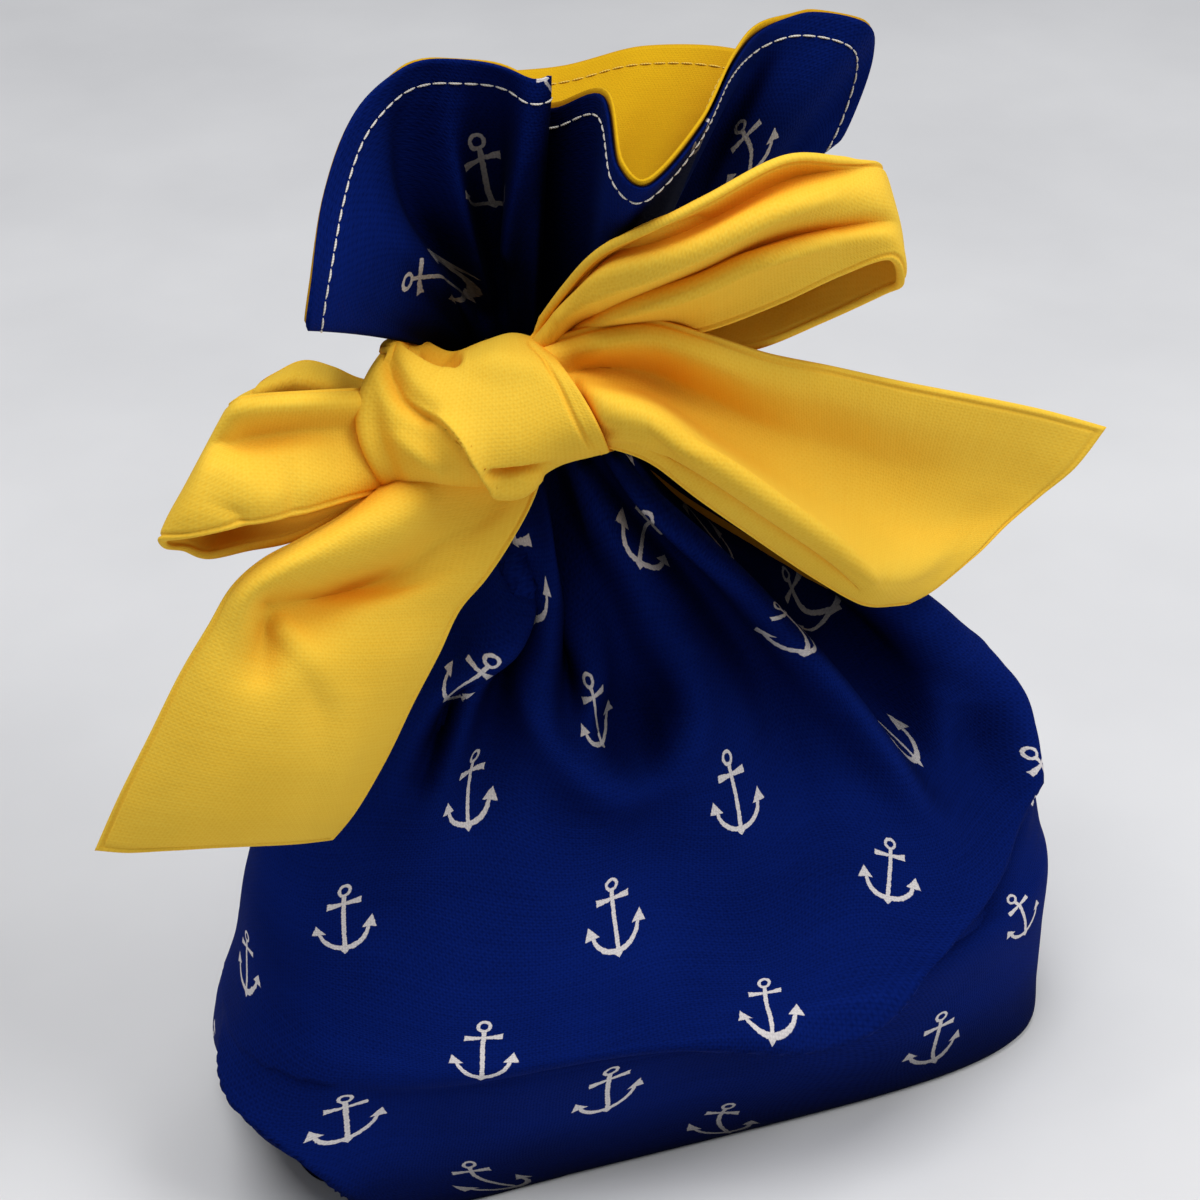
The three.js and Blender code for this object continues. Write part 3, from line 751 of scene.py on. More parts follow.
@dataclass(frozen=True)
class BagForm:
    """The bag's cloth as it stands: body rings, gathers, neck and ruffle."""

    columns: int = 300
    body_rows: int = 192
    neck_rows: int = 8
    ruffle_rows: int = 72
    crowding: float = 0.045
    neck_gather: float = 2.4
    pleats: int = 26
    pleat_depth: float = 1.5
    ring_steps: int = 1441

    # height, left, right, front, back, middle x, middle y, squareness
    rings: tuple = (
        (0, 79, 89, 31, 31, 0, 0, 4.2),
        (2, 84.5, 91, 33, 33, 0, 0, 4),
        (12, 93, 91, 36, 35, 0, 0, 3.4),
        (28, 89, 91, 40, 36, 0, 0, 2.9),
        (43, 84, 91, 43.5, 35, 0, 0, 2.6),
        (50, 82, 89.5, 39.5, 34.5, 0, 0, 2.5),
        (66, 78, 87.5, 30, 33, -1, 0, 2.4),
        (84, 70, 83, 22, 29, -3, 1, 2.3),
        (104, 57, 70, 18, 24, -5, 3, 2.2),
        (122, 42, 52, 16, 19, -8, 5, 2.1),
        (138, 29, 34, 15, 15, -11, 7, 2),
        (150, 20, 21, 13, 13, -12.5, 8.5, 2),
        (NECK_FOOT, NECK_HALF_WIDTH, NECK_HALF_WIDTH, NECK_HALF_DEPTH, NECK_HALF_DEPTH,
         *NECK_AT, 2),
        (NECK_TOP, NECK_HALF_WIDTH, NECK_HALF_WIDTH, NECK_HALF_DEPTH, NECK_HALF_DEPTH,
         *NECK_AT, 2),
    )

    # from, to, how far down, depth, breadth
    valleys: tuple = (
        (0.035, 0.025, 84, 5, 0.05),
        (0.13, 0.12, 74, 5, 0.05),
        (0.22, 0.2, 66, 5, 0.045),
        (0.3, 0.28, 64, 5, 0.04),
        (0.385, 0.355, 92, 8, 0.04),
        (0.455, 0.465, 104, 6, 0.04),
        (0.54, 0.555, 116, 4, 0.035),
        (0.628, 0.643, 84, 9, 0.046),
        (0.715, 0.735, 96, 7, 0.045),
        (0.8, 0.81, 78, 5, 0.045),
        (0.885, 0.9, 74, 5, 0.05),
    )

    # place round the cloth, and the way from the middle of the neck
    rim: tuple = (
        (0, 15, 43, 42),
        (0.06, -4, 50, 40),
        (0.115, -20, 42, 40),
        (0.165, -29, 22, 42),
        (0.215, -40, -2, 40),
        (0.25, -50, -34, 36),
        (0.275, -49, -36, 44),
        (0.3, -44, -25, 54),
        (0.33, -36, -14, 62),
        (0.355, -27, -7, 65),
        (0.38, -18, -7, 66),
        (0.415, -8, -16, 65),
        (0.435, -4, -14, 64),
        (0.455, -8, -6, 56),
        (0.475, -2, -9, 56.5),
        (0.495, 3, -18, 61.5),
        (0.53, -1, -38, 58),
        (0.55, 3, -43, 56),
        (0.59, 16, -32, 60),
        (0.625, 29, -12, 62),
        (0.66, 40, 4, 60.5),
        (0.69, 49, 5, 62.5),
        (0.715, 59, 3, 60),
        (0.735, 63, 8, 52),
        (0.76, 60, 7, 43),
        (0.785, 57, 8, 36),
        (0.82, 60, 20, 37),
        (0.88, 48, 28, 46),
        (0.94, 31, 38, 46),
    )

    # place round the cloth, and how far the lining shows above the outer rim
    lip: tuple = (
        (0, 0.2), (0.2, -1.4), (0.33, -1.4), (0.36, -0.2), (0.42, -0.4), (0.445, -0.4),
        (0.46, 0.8), (0.66, 1.0), (0.7, 0.3), (1, 0.2),
    )

    folds: tuple[Fold, ...] = BAG_FOLDS

    def ring_heights(self) -> np.ndarray:
        """Cloth height of each ring, measured up the front."""
        rings = np.array(self.rings, float)
        forward = rings[:, 6] - rings[:, 3]
        steps = np.hypot(np.diff(rings[:, 0]), np.diff(forward))
        return np.concatenate([[0], np.cumsum(steps)])

    def places(self) -> np.ndarray:
        """Place round the cloth of each column, from 0 to 1, closest together at the front."""
        share = np.arange(self.columns) / self.columns
        return share + self.crowding * np.sin(2 * np.pi * share)

    def valley_depth(self, places: np.ndarray, below: float) -> np.ndarray:
        """How far the gathers press the cloth in.

        Args:
            places: places round the cloth.
            below: how far below the neck, in millimetres.

        Returns:
            A depth for each place.
        """
        depth = np.zeros_like(places)
        for start, end, down, deep, broad in self.valleys:
            along = below / down
            if along >= 1:
                continue
            away = places - (start + (end - start) * along)
            away -= np.round(away)
            here = self.neck_gather + (deep - self.neck_gather) * smooth(along * 4)
            depth += here * smooth((1 - along) * 1.6) * np.exp(-((away / (broad / 2)) ** 2))
        turns = 2 * np.pi * self.pleats * (places + 0.006 * np.sin(2 * np.pi * 7 * places))
        fine = self.pleat_depth * (0.5 - 0.5 * np.cos(turns)) * np.exp(-below / 16)
        return depth + fine

    def body_ring(self, numbers: np.ndarray, places: np.ndarray, below: float) -> np.ndarray:
        """One level ring of the body.

        Args:
            numbers: one row as in rings.
            places: places round the cloth.
            below: how far below the neck it lies.

        Returns:
            A point for each place.
        """
        z, left, right, front, back, cx, cy, square = numbers
        angle = np.pi * (0.5 + np.linspace(0, 2, self.ring_steps))
        c, s = np.cos(angle), np.sin(angle)
        wide, deep = np.where(c > 0, right, left), np.where(s > 0, back, front)
        reach = (np.abs(c / wide) ** square + np.abs(s / deep) ** square) ** (-1 / square)
        ring = np.stack([cx + c * reach, cy + s * reach], axis=-1)
        lengths = np.concatenate([[0], np.cumsum(np.hypot(*np.diff(ring, axis=0).T))])
        target = places * lengths[-1]
        x, y = (np.interp(target, lengths, ring[:, k]) for k in (0, 1))
        thin = min(front, back)
        spine = cx + np.clip(x - cx, min(thin - left, 0), -min(thin - right, 0))
        out = unit(np.stack([x - spine, y - cy], axis=-1))
        depth = self.valley_depth(places, below)
        flat = np.stack([x, y], axis=-1) - out * depth[:, None]
        return np.column_stack([flat, np.full(len(places), z)])

    def rim_points(self, places: np.ndarray) -> np.ndarray:
        """The rim as a closed smooth curve over the place round the cloth."""
        rows = np.array(self.rim, float)
        starts = np.append(rows[:, 0], 1.0)
        first = np.clip(np.searchsorted(starts, places, side="right") - 1, 0, len(rows) - 1)
        local = (places - starts[first]) / (starts[first + 1] - starts[first])
        curve = catmull(rows[:, 1:], first + local, closed=True)
        return curve + np.array([*NECK_AT, NECK_HEIGHT])

    def surface(self) -> tuple[np.ndarray, np.ndarray]:
        """The outer face of the outer cloth.

        Returns:
            The points, rows by columns by three, and the cloth height of each row.
        """
        places = self.places()
        heights = self.ring_heights()
        foot = heights[-2]
        body = np.linspace(0, foot, self.body_rows + 1)
        ring_places = np.interp(body, heights, np.arange(len(heights)))
        numbers = catmull(np.array(self.rings, float), ring_places)
        rows = [self.body_ring(row, places, foot - t) for row, t in zip(numbers, body)]
        levels = list(body)
        low = rows[-1]
        for k in range(1, self.neck_rows + 1):
            share = k / self.neck_rows
            rows.append(low + [0, 0, NECK_LENGTH * share])
            levels.append(foot + NECK_LENGTH * share)
        neck = rows[-1]
        rim = self.rim_points(places)
        for k in range(1, self.ruffle_rows + 1):
            share = k / self.ruffle_rows
            bow = RUFFLE_BOW * 4 * share * (1 - share)
            rows.append(neck + (rim - neck) * share + [0, 0, bow])
            levels.append(foot + NECK_LENGTH + RUFFLE * share)
        return np.array(rows), np.array(levels)


BAG = BagForm()


# Whole anchors as they are seen: the top of the ring and the foot of the crown in the frame,
# then the anchor's place in the repeat, in half repeats across and up
SEEN_ANCHORS = (
    (725, 750, 742, 835, 0, 0),
    (611, 878, 620, 958, -1, -1),
    (890, 838, 888, 904, 1, -1),
    (585, 672, 605, 748, -1, 1),
    (477, 749, 469, 832, -2, 0),
    (345, 884, 345, 954, -3, -1),
    (246, 931, 246, 997, -4, -2),
    (484, 1021, 480, 1079, -2, -2),
    (612, 1067, 607, 1112, -1, -3),
    (344, 1095, 349, 1143, -3, -3),
    (942, 1012, 936, 1063, 1, -3),
    (782, 568, 842, 608, 3, 1),
    (764, 978, 772, 1046, 0, -2),
    (732, 1103, 731, 1136, 0, -4),
    (648, 508, 640, 570, 0, 2),
    (774, 602, 803, 657, 1, 1),
    (497, 655, 443, 703, -3, 1),
    (474, 133, 496, 208, -1, 5),
    (401, 286, 476, 303, -2, 4),
    (738, 122, 748, 180, 3, 5),
)


@dataclass(frozen=True)
class Flat:
    """A piece of cloth as it lies flat, in metres, and how the pouch holds it."""

    width: float
    length: float
    held: str
    rests_on: tuple[str, ...]
    area: float | None = None

    def declare(self, piece: bpy.types.Object) -> None:
        """Does nothing: the flat cloth is not noted on the piece."""


@dataclass
class Bag:
    """The outer bag, its lining and the stitches through both.

    The lining hangs inside the bag's plain form, by as much as the deepest fold near each point
    and a little slack. Below the neck it has pleats of its own.
    """

    form: BagForm = BAG
    motif: AnchorPrint = ANCHORS
    anchors: tuple = SEEN_ANCHORS
    look: float = 7.0  # how far round a place in the frame the cloth is looked for
    pin_slack: float = 6.0
    slack: float = 1.2
    hang: tuple[float, float] = (1.0, 11.5)  # the least and the most that the lining hangs in
    spread: int = 5  # how many rows and columns away a fold still holds the lining off
    lining_pleats: int = 30
    lining_pleat: float = 4.4
    pleat_rows: int = 45  # rows below the neck over which the pleats grow
    lift_rows: int = 20  # rows above the neck over which the lining comes to lie on the cloth

    def __post_init__(self) -> None:
        """Work out the folded cloth once, for all the pieces that follow it."""
        plain, self.levels = self.form.surface()
        self.core = replace(self.form, valleys=(), neck_gather=0.0, pleat_depth=0.0).surface()[0]
        self.places = self.form.places()
        across, up = np.meshgrid(self.places * CLOTH_ROUND, self.levels)
        self.face = press(plain, self.form.folds, across, up, True)
        self.face[..., 2] = np.maximum(self.face[..., 2], 0)
        rise, run = slopes(self.face, True)
        self.outward = unit(np.cross(run, rise))
        self.upward = unit(rise)
        self.uv = self.cloth_map()

    def cloth_map(self) -> np.ndarray:
        """Where each point lies on the flat cloth, in millimetres, with the first column again."""
        wide = np.concatenate([self.places, [1.0]]) * CLOTH_ROUND
        across, up = np.meshgrid(wide, self.levels)
        flat = np.stack([across, up], axis=-1)
        shift = self.print_shift(flat[:, :-1])
        return flat + np.concatenate([shift, shift[:, :1]], axis=1)

    def seen_place(self, flat: np.ndarray, sight: np.ndarray, x: float, y: float) -> np.ndarray:
        """The place on the flat cloth that is seen at a place in the frame.

        Args:
            flat: the place of every point on the flat cloth.
            sight: the place of every point in the frame, behind everything where it faces away.
            x: across the frame.
            y: down the frame.

        Returns:
            Its place across and up the cloth.
        """
        away = np.hypot(sight[..., 0] - x, sight[..., 1] - y)
        near = away < max(self.look, away.min() + 2)
        nearest = sight[..., 2][near].max()
        near &= sight[..., 2] > nearest - 4
        weight = np.exp(-((away[near] / 3) ** 2))
        return (flat[near] * weight[:, None]).sum(axis=0) / weight.sum()

    def print_shift(self, flat: np.ndarray) -> np.ndarray:
        """How far the print is moved along the cloth, to bring its anchors where they are seen.

        Args:
            flat: the place of every point on the flat cloth.

        Returns:
            A shift for each point, in millimetres, fading out away from the anchors.
        """
        sight = VIEW.sight(self.face)
        hidden = (self.outward * (VIEW.eye() - self.face)).sum(axis=-1) <= 0
        sight[hidden, 2] = -1e6
        pins, moves = [], []
        side = self.motif.side
        ends = np.array([(0, self.motif.top), (0, self.motif.foot), (side, 0), (-side, 0)])
        for x0, y0, x1, y1, column, row in self.anchors:
            top, foot = (self.seen_place(flat, sight, *q) for q in ((x0, y0), (x1, y1)))
            middle, axis = (top + foot) / 2, unit(top - foot)
            sideways = np.array([axis[1], -axis[0]]) * side
            seen = np.array([top, foot, middle + sideways, middle - sideways])
            pins.append(seen)
            moves.append(self.motif.node(column, row) + ends - seen)
        return thin_plate(np.concatenate(pins), np.concatenate(moves), flat, self.pin_slack)

    def flat(self, wide: float, rests_on: str) -> Flat:
        """The flat cut of one of the bag's cloths: a tube with boxed corners at its foot.

        Args:
            wide: how far the cloth reaches round the bag, in millimetres.
            rests_on: what it rests on.

        Returns:
            Its flat size, less the four squares that the boxed corners turn away.
        """
        corner = (self.form.rings[0][3] + self.form.rings[0][4]) / 2
        length = self.levels[-1] + corner
        area = wide * length - 4 * corner**2
        return Flat(wide * METRES, length * METRES, "gathered", (rests_on,), area * METRES**2)

    def lip(self) -> np.ndarray:
        """How far the lining's fold shows above the outer rim, round the ruffle."""
        rows = np.array(self.form.lip)
        return np.interp(self.places, rows[:, 0], rows[:, 1])

    def ply(self, depth: float, lip: np.ndarray | float) -> np.ndarray:
        """A face of the cloth at a depth inside the outer one.

        Args:
            depth: how far inside.
            lip: how far its rim stands above the outer rim.

        Returns:
            The points, rows by columns by three.
        """
        points = self.face - self.outward * depth
        points[0, :, 2] = depth
        points[-1] += self.upward[-1] * np.reshape(lip, (-1, 1))
        return points

    def outer(self, material: bpy.types.Material) -> bpy.types.Object:
        """The outer bag, closed at the base and open at the rim."""
        facets = Facets()
        index = facets.add_grid(self.face, self.uv, round_it=True)
        inner = self.ply(CLOTH, 0.0)
        coarse = np.r_[0 : self.form.body_rows : 8, self.form.body_rows : len(self.face) : 4]
        within = facets.add_grid(inner[coarse], self.uv[coarse], round_it=True, flip=True)
        facets.join(np.stack([index[-1], within[-1]]), self.uv[[-1, -1]], True, False)
        middle = self.face[0].mean(axis=0)
        facets.fan(index[0], self.uv[0, :-1], middle, True)
        facets.fan(within[0], self.uv[0, :-1], middle + [0, 0, CLOTH], False)
        return facets.to_object("outer_bag_cloth", material)

    def lining_face(self) -> np.ndarray:
        """The face of the lining that lies against the outer cloth."""
        against = self.ply(CLOTH + PLY_GAP, self.lip())
        rise, run = slopes(self.core, True)
        outward = unit(np.cross(run, rise))
        depth = ((self.core - self.face) * outward).sum(axis=-1)
        depth = np.clip(depth + self.slack, *self.hang)
        steps = range(-self.spread, self.spread + 1)
        for axis in (1, 0):
            depth = np.max([np.roll(depth, k, axis=axis) for k in steps], axis=0)
        low = smooth((self.form.body_rows - np.arange(len(self.face))) / self.pleat_rows)
        pleat = 0.5 - 0.5 * np.cos(2 * np.pi * self.lining_pleats * self.places)
        depth = depth + self.lining_pleat * low[:, None] * pleat[None]
        hung = self.core - outward * depth[..., None]
        hung[..., 2] = np.maximum(hung[..., 2], CLOTH + PLY_GAP)
        above = np.arange(len(self.face)) - self.form.body_rows - self.form.neck_rows
        share = smooth(above / self.lift_rows)[:, None, None]
        return hung * (1 - share) + against * share

    def lining(self, material: bpy.types.Material) -> bpy.types.Object:
        """The lining: a cloth bag inside the outer one, closed at the base and open at the rim."""
        facets = Facets()
        coarse = np.r_[0 : self.form.body_rows : 8, self.form.body_rows : len(self.face)]
        outer = self.lining_face()[coarse]
        index = facets.add_grid(outer, self.uv[coarse], round_it=True)
        rise, run = slopes(outer, True)
        inner = outer - unit(np.cross(run, rise)) * LINING_CLOTH
        inner[0, :, 2] = outer[0, :, 2] + LINING_CLOTH
        within = facets.add_grid(inner, self.uv[coarse], round_it=True, flip=True)
        facets.join(np.stack([index[-1], within[-1]]), self.uv[[-1, -1]], True, False)
        facets.fan(index[0], self.uv[0, :-1], outer[0].mean(axis=0), True)
        facets.fan(within[0], self.uv[0, :-1], inner[0].mean(axis=0), False)
        return facets.to_object("lining_bag_cloth", material)

    def seam_line(self, drop: float, lift: float) -> tuple[np.ndarray, np.ndarray]:
        """A line round the ruffle below the rim.

        Args:
            drop: how far below the rim.
            lift: how far off the outer face, under 0 inside it.

        Returns:
            The points of the line, and the direction out of the cloth at each.
        """
        row = self.form.body_rows + self.form.neck_rows
        row += self.form.ruffle_rows * (1 - drop / RUFFLE)
        low = int(row)
        share = row - low
        points = self.face[low] * (1 - share) + self.face[low + 1] * share
        return points + self.outward[low] * lift, self.outward[low]


@dataclass
class Stitching:
    """Machine stitches along a closed line, each a short rounded length of thread."""

    pitch: float = 2.6
    gap: float = 0.4
    thread: float = 0.18
    sides: int = 7
    rings: int = 7

    def build(self, name: str, line: np.ndarray, outward: np.ndarray,
              material: bpy.types.Material) -> bpy.types.Object:
        """Lay the stitches.

        Args:
            name: the piece's name.
            line: points of the closed line.
            outward: the direction out of the cloth at each point.
            material: the thread's finish.

        Returns:
            The stitches as one object.
        """
        closed = np.concatenate([line, line[:1]])
        normals = np.concatenate([outward, outward[:1]])
        lengths = np.concatenate([[0], np.cumsum(np.linalg.norm(np.diff(closed, axis=0), axis=1))])
        count = int(lengths[-1] / self.pitch)
        reach = self.pitch - self.gap
        shares = 0.5 - 0.5 * np.cos(np.linspace(0, np.pi, self.rings))
        dip = 1 - np.sin(np.pi * shares) ** 0.5
        swell = np.sin(np.pi * np.clip(shares, 0.04, 0.96)) ** 0.4
        width = (self.thread * (0.45 + 0.55 * swell))[:, None, None]
        angles = np.linspace(0, 2 * np.pi, self.sides, endpoint=False)
        around = np.linspace(0, 1, self.sides + 1)
        facets = Facets()
        for k in range(count):
            start = (k + 0.5 * self.gap / self.pitch) * lengths[-1] / count
            along = start + reach * shares
            middle, normal = (
                np.stack([np.interp(along, lengths, rows[:, i]) for i in range(3)], axis=-1)
                for rows in (closed, normals)
            )
            normal = unit(normal)
            middle = middle - normal * (dip * self.thread)[:, None]
            forward = unit(np.gradient(middle, axis=0))
            side = unit(np.cross(forward, normal))
            above = np.cross(side, forward)
            ring = (
                middle[:, None]
                + side[:, None] * (np.cos(angles)[None, :, None] * width)
                + above[:, None] * (np.sin(angles)[None, :, None] * width)
            )
            u, v = np.meshgrid(around, along)
            uv = np.stack([v, u], axis=-1)
            index = facets.add_grid(ring, uv, round_it=True, flip=True)
            facets.fan(index[0], uv[0, :-1], middle[0], False)
            facets.fan(index[-1], uv[-1, :-1], middle[-1], True)
        return facets.to_object(name, material)


@dataclass(frozen=True)
class Ply:
    """One limb of the sash: a doubled strip of cloth laid through given places.

    Each row of places crosses the sash from its upper to its lower edge, and the rows follow it
    from the knot outwards. A place is (x, y, forward) as Viewpoint has it. The folds' paths are
    places in the frame too, with heights in millimetres and breadths in units of the frame. The
    front ends at the row where a loop turns back, and only it takes the folds.
    """

    name: str
    rows: tuple
    folds: tuple[Fold, ...] = ()
    front: float = ALL_FRONT
    length: int = 170
    width: int = 72
    crowding: float = 0.55  # how much closer together the points are at the edges

    def cloth(self) -> tuple[np.ndarray, np.ndarray, np.ndarray]:
        """The middle of the cloth.

        Returns:
            Its points, row by row, and the place of each across and along the flat sash.
        """
        even = np.linspace(0, 1, self.width)
        eased = 0.5 - 0.5 * np.cos(np.pi * even)
        share = even + self.crowding * (eased - even)
        sets = [catmull(np.array(row, float), share * (len(row) - 1)) for row in self.rows]
        sets = np.array(sets)
        along = np.linspace(0, len(sets) - 1, self.length)
        sight = np.stack([catmull(sets[:, k], along) for k in range(self.width)], axis=1)
        points = VIEW.point(sight)
        seen = smooth(self.front - along)[:, None]
        points = press(points, self.folds, sight[..., 0], sight[..., 1], False, seen)
        steps = np.linalg.norm(np.diff(points, axis=1), axis=-1)
        across = np.concatenate([np.zeros((self.length, 1)), np.cumsum(steps, axis=1)], axis=1)
        climbs = np.linalg.norm(np.diff(points, axis=0), axis=-1).mean(axis=1)
        up = np.repeat(np.concatenate([[0], np.cumsum(climbs)])[:, None], self.width, axis=1)
        return points, across, up

    def build(self, material: bpy.types.Material) -> bpy.types.Object:
        """Make the limb as a closed mesh, with the seam along both its edges."""
        points, across, up = self.cloth()
        rise, run = slopes(points, False)
        outward = unit(np.cross(run, rise))
        shown = int(min(self.front, len(self.rows)) / len(self.rows) * self.length)
        side = 1.0 if (outward[:shown] @ VIEW.axes()[2]).mean() > 0 else -1.0
        inset = np.minimum(across, across[:, -1:] - across)
        lengthwise = up[-1:, :] - up
        inset = np.minimum(inset, np.where(self.front == ALL_FRONT, lengthwise, inset))
        half = seam_profile(inset) * SASH_CLOTH / 2
        front = points + outward * half[..., None] * side
        back = points - outward * half[..., None] * side
        loop = np.concatenate([front, back[:, ::-1]], axis=1)
        flat = np.stack([np.concatenate([across, across[:, ::-1]], 1),
                         np.concatenate([up, up], 1)], axis=-1)
        flat = np.concatenate([flat, flat[:, :1]], axis=1)
        facets = Facets()
        index = facets.add_grid(loop, flat, round_it=True, flip=side < 0)
        for row, flip in ((0, side < 0), (-1, side > 0)):
            pair = np.stack([index[row, : self.width], index[row, self.width :][::-1]])
            uv = np.stack([flat[row, : self.width], flat[row, : self.width]])
            facets.join(pair, uv, False, flip)
        return facets.to_object(self.name, material)


def seam_profile(inset: np.ndarray) -> np.ndarray:
    """How thick the doubled cloth is near its edge, as a share of its full thickness.

    Args:
        inset: how far each point is from the edge, in millimetres.

    Returns:
        1 well inside, less at the rounded edge and in the seam's groove beside it.
    """
    edge = np.sqrt(np.clip(1 - (1 - np.clip(inset / 0.7, 0, 1)) ** 2, 0.06, 1))
    groove = 0.5 * np.exp(-(((inset - 1.25) / 0.32) ** 2))
    return edge * (1.06 - groove)


@dataclass(frozen=True)
class Knot:
    """The knot: one turn of the sash wrapped over its core as a sleeve, with its folds.

    Each station holds the places in the frame of the sleeve's top and bottom, how deep it is
    from there towards the camera and away from it, and how far its middle bows sideways.
    """

    stations: tuple = (
        (404, 350, 392, 478, 8.5, -7, -28),
        (398, 341, 388, 487, 10.5, -9, -33),
        (396, 335, 386, 491, 12, -10, -36),
        (403, 333, 391, 492, 13.5, -11, -31),
        (424, 339, 408, 490, 14.5, -12, -20),
        (452, 351, 438, 487, 14.5, -12, -8),
        (484, 341, 478, 487, 14.5, -12, 0),
        (510, 333, 520, 488, 14, -11, 4),
        (530, 336, 560, 466, 14, -10, 6),
        (542, 343, 592, 457, 14, -9, 6),
        (550, 350, 608, 453, 14, -9, 6),
        (554, 358, 608, 449, 12.5, -8, 5),
        (550, 364, 600, 445, 11, -7, 4),
    )
    blunt: float = 2.5
    rows: int = 230
    columns: int = 260
    inner: float = 1.5
    folds: tuple[Fold, ...] = ()

    def cloth(self) -> tuple[np.ndarray, np.ndarray, np.ndarray]:
        """The sleeve's outer face.

        Returns:
            Its points from the left edge to the right, and the place of each round the sleeve
            and along it.
        """
        numbers = np.array(self.stations, float)
        along = np.linspace(0, len(numbers) - 1, self.rows)
        shape = catmull(numbers, along)[:, None, :]
        angle = np.linspace(0, 2 * np.pi, self.columns, endpoint=False)
        c, s = np.cos(angle), np.sin(angle)
        reach = (np.abs(c) ** self.blunt + np.abs(s) ** self.blunt) ** (-1 / self.blunt)
        c, s = (c * reach)[None], (s * reach)[None]
        x = (shape[..., 0] + shape[..., 2]) / 2 + c * (shape[..., 0] - shape[..., 2]) / 2
        x = x + shape[..., 6] * (1 - c**2)
        y = (shape[..., 1] + shape[..., 3]) / 2 + c * (shape[..., 1] - shape[..., 3]) / 2
        forward = np.where(s > 0, s * shape[..., 4], -s * shape[..., 5])
        sight = np.stack([x, y, forward], axis=-1)
        points = VIEW.point(sight)
        points = press(points, self.folds, x, y, True, smooth(forward / 4 + 0.5))
        closed = np.concatenate([points, points[:, :1]], axis=1)
        steps = np.linalg.norm(np.diff(closed, axis=1), axis=-1).mean(axis=0)
        around = np.concatenate([[0], np.cumsum(steps)])
        climbs = np.linalg.norm(np.diff(points, axis=0), axis=-1).mean(axis=1)
        length = np.concatenate([[0], np.cumsum(climbs)])
        return points, around, length

    def build(self, material: bpy.types.Material) -> bpy.types.Object:
        """Make the sleeve as a closed mesh, open at both ends for the limbs."""
        points, around, length = self.cloth()
        rise, run = slopes(points, True)
        outward = unit(np.cross(run, rise))
        middle = points.mean(axis=1, keepdims=True)
        turned = bool(((points - middle) * outward).sum(axis=-1).mean() < 0)
        if turned:
            outward = -outward
        inner = (points - outward * self.inner)[::6]
        u, v = np.meshgrid(around, length)
        uv = np.stack([u, v], axis=-1)
        facets = Facets()
        index = facets.add_grid(points, uv, round_it=True, flip=turned)
        within = facets.add_grid(inner, uv[::6], round_it=True, flip=not turned)
        facets.join(np.stack([index[-1], within[-1]]), uv[[-1, -1]], True, turned)
        facets.join(np.stack([index[0], within[0]]), uv[[0, 0]], True, not turned)
        return facets.to_object("sash_knot", material)


KNOT_FOLDS = (
    # the pocket at the top and the soft valley that runs down from it
    Fold(((402, 336, -1, 5), (418, 343, -4.5, 6), (438, 352, -6, 7), (454, 359, -2.5, 6))),
    Fold(((388, 350, -1, 8), (392, 372, -2.4, 10), (404, 396, -2.6, 12), (428, 414, -1.6, 11))),
    # the turn of cloth that lies across from the upper left to the lower middle
    Fold(((494, 486, 1, 4), (484, 474, 3, 4), (471, 457, 3.8, 5), (457, 438, 3.6, 6),
          (440, 422, 3, 7), (420, 410, 2.2, 8), (404, 396, 1.2, 9), (396, 378, 0.4, 9)),
         FoldShape.LEDGE),
    Fold(((470, 366, 0.5, 10), (500, 364, 1.4, 16), (530, 366, 0.6, 14))),
    # the pocket at the bottom, and its lip
    Fold(((488, 468, -1, 3), (502, 473, -4, 3.6), (520, 473, -4, 3.6), (540, 469, -2, 3.4),
          (552, 465, -0.4, 3))),
    Fold(((484, 480, 0.6, 4), (500, 486, 1.8, 4), (520, 487, 1.8, 4), (540, 479, 0.8, 4))),
    # the seam along the right edge
    Fold(((530, 344, -0.3, 2.6), (543, 358, -0.5, 2.6), (555, 378, -0.5, 2.6),
          (564, 396, -0.5, 2.6), (574, 418, -0.5, 2.6), (586, 440, -0.5, 2.6),
          (592, 448, -0.3, 2.6))),
    # the slack of the left end
    Fold(((372, 390, -0.3, 10), (374, 425, -1.2, 12), (382, 455, -1.4, 12), (396, 480, -0.6, 8))),
    Fold(((400, 440, 0.6, 10), (420, 455, 1.2, 11), (440, 470, 0.6, 9))),
)

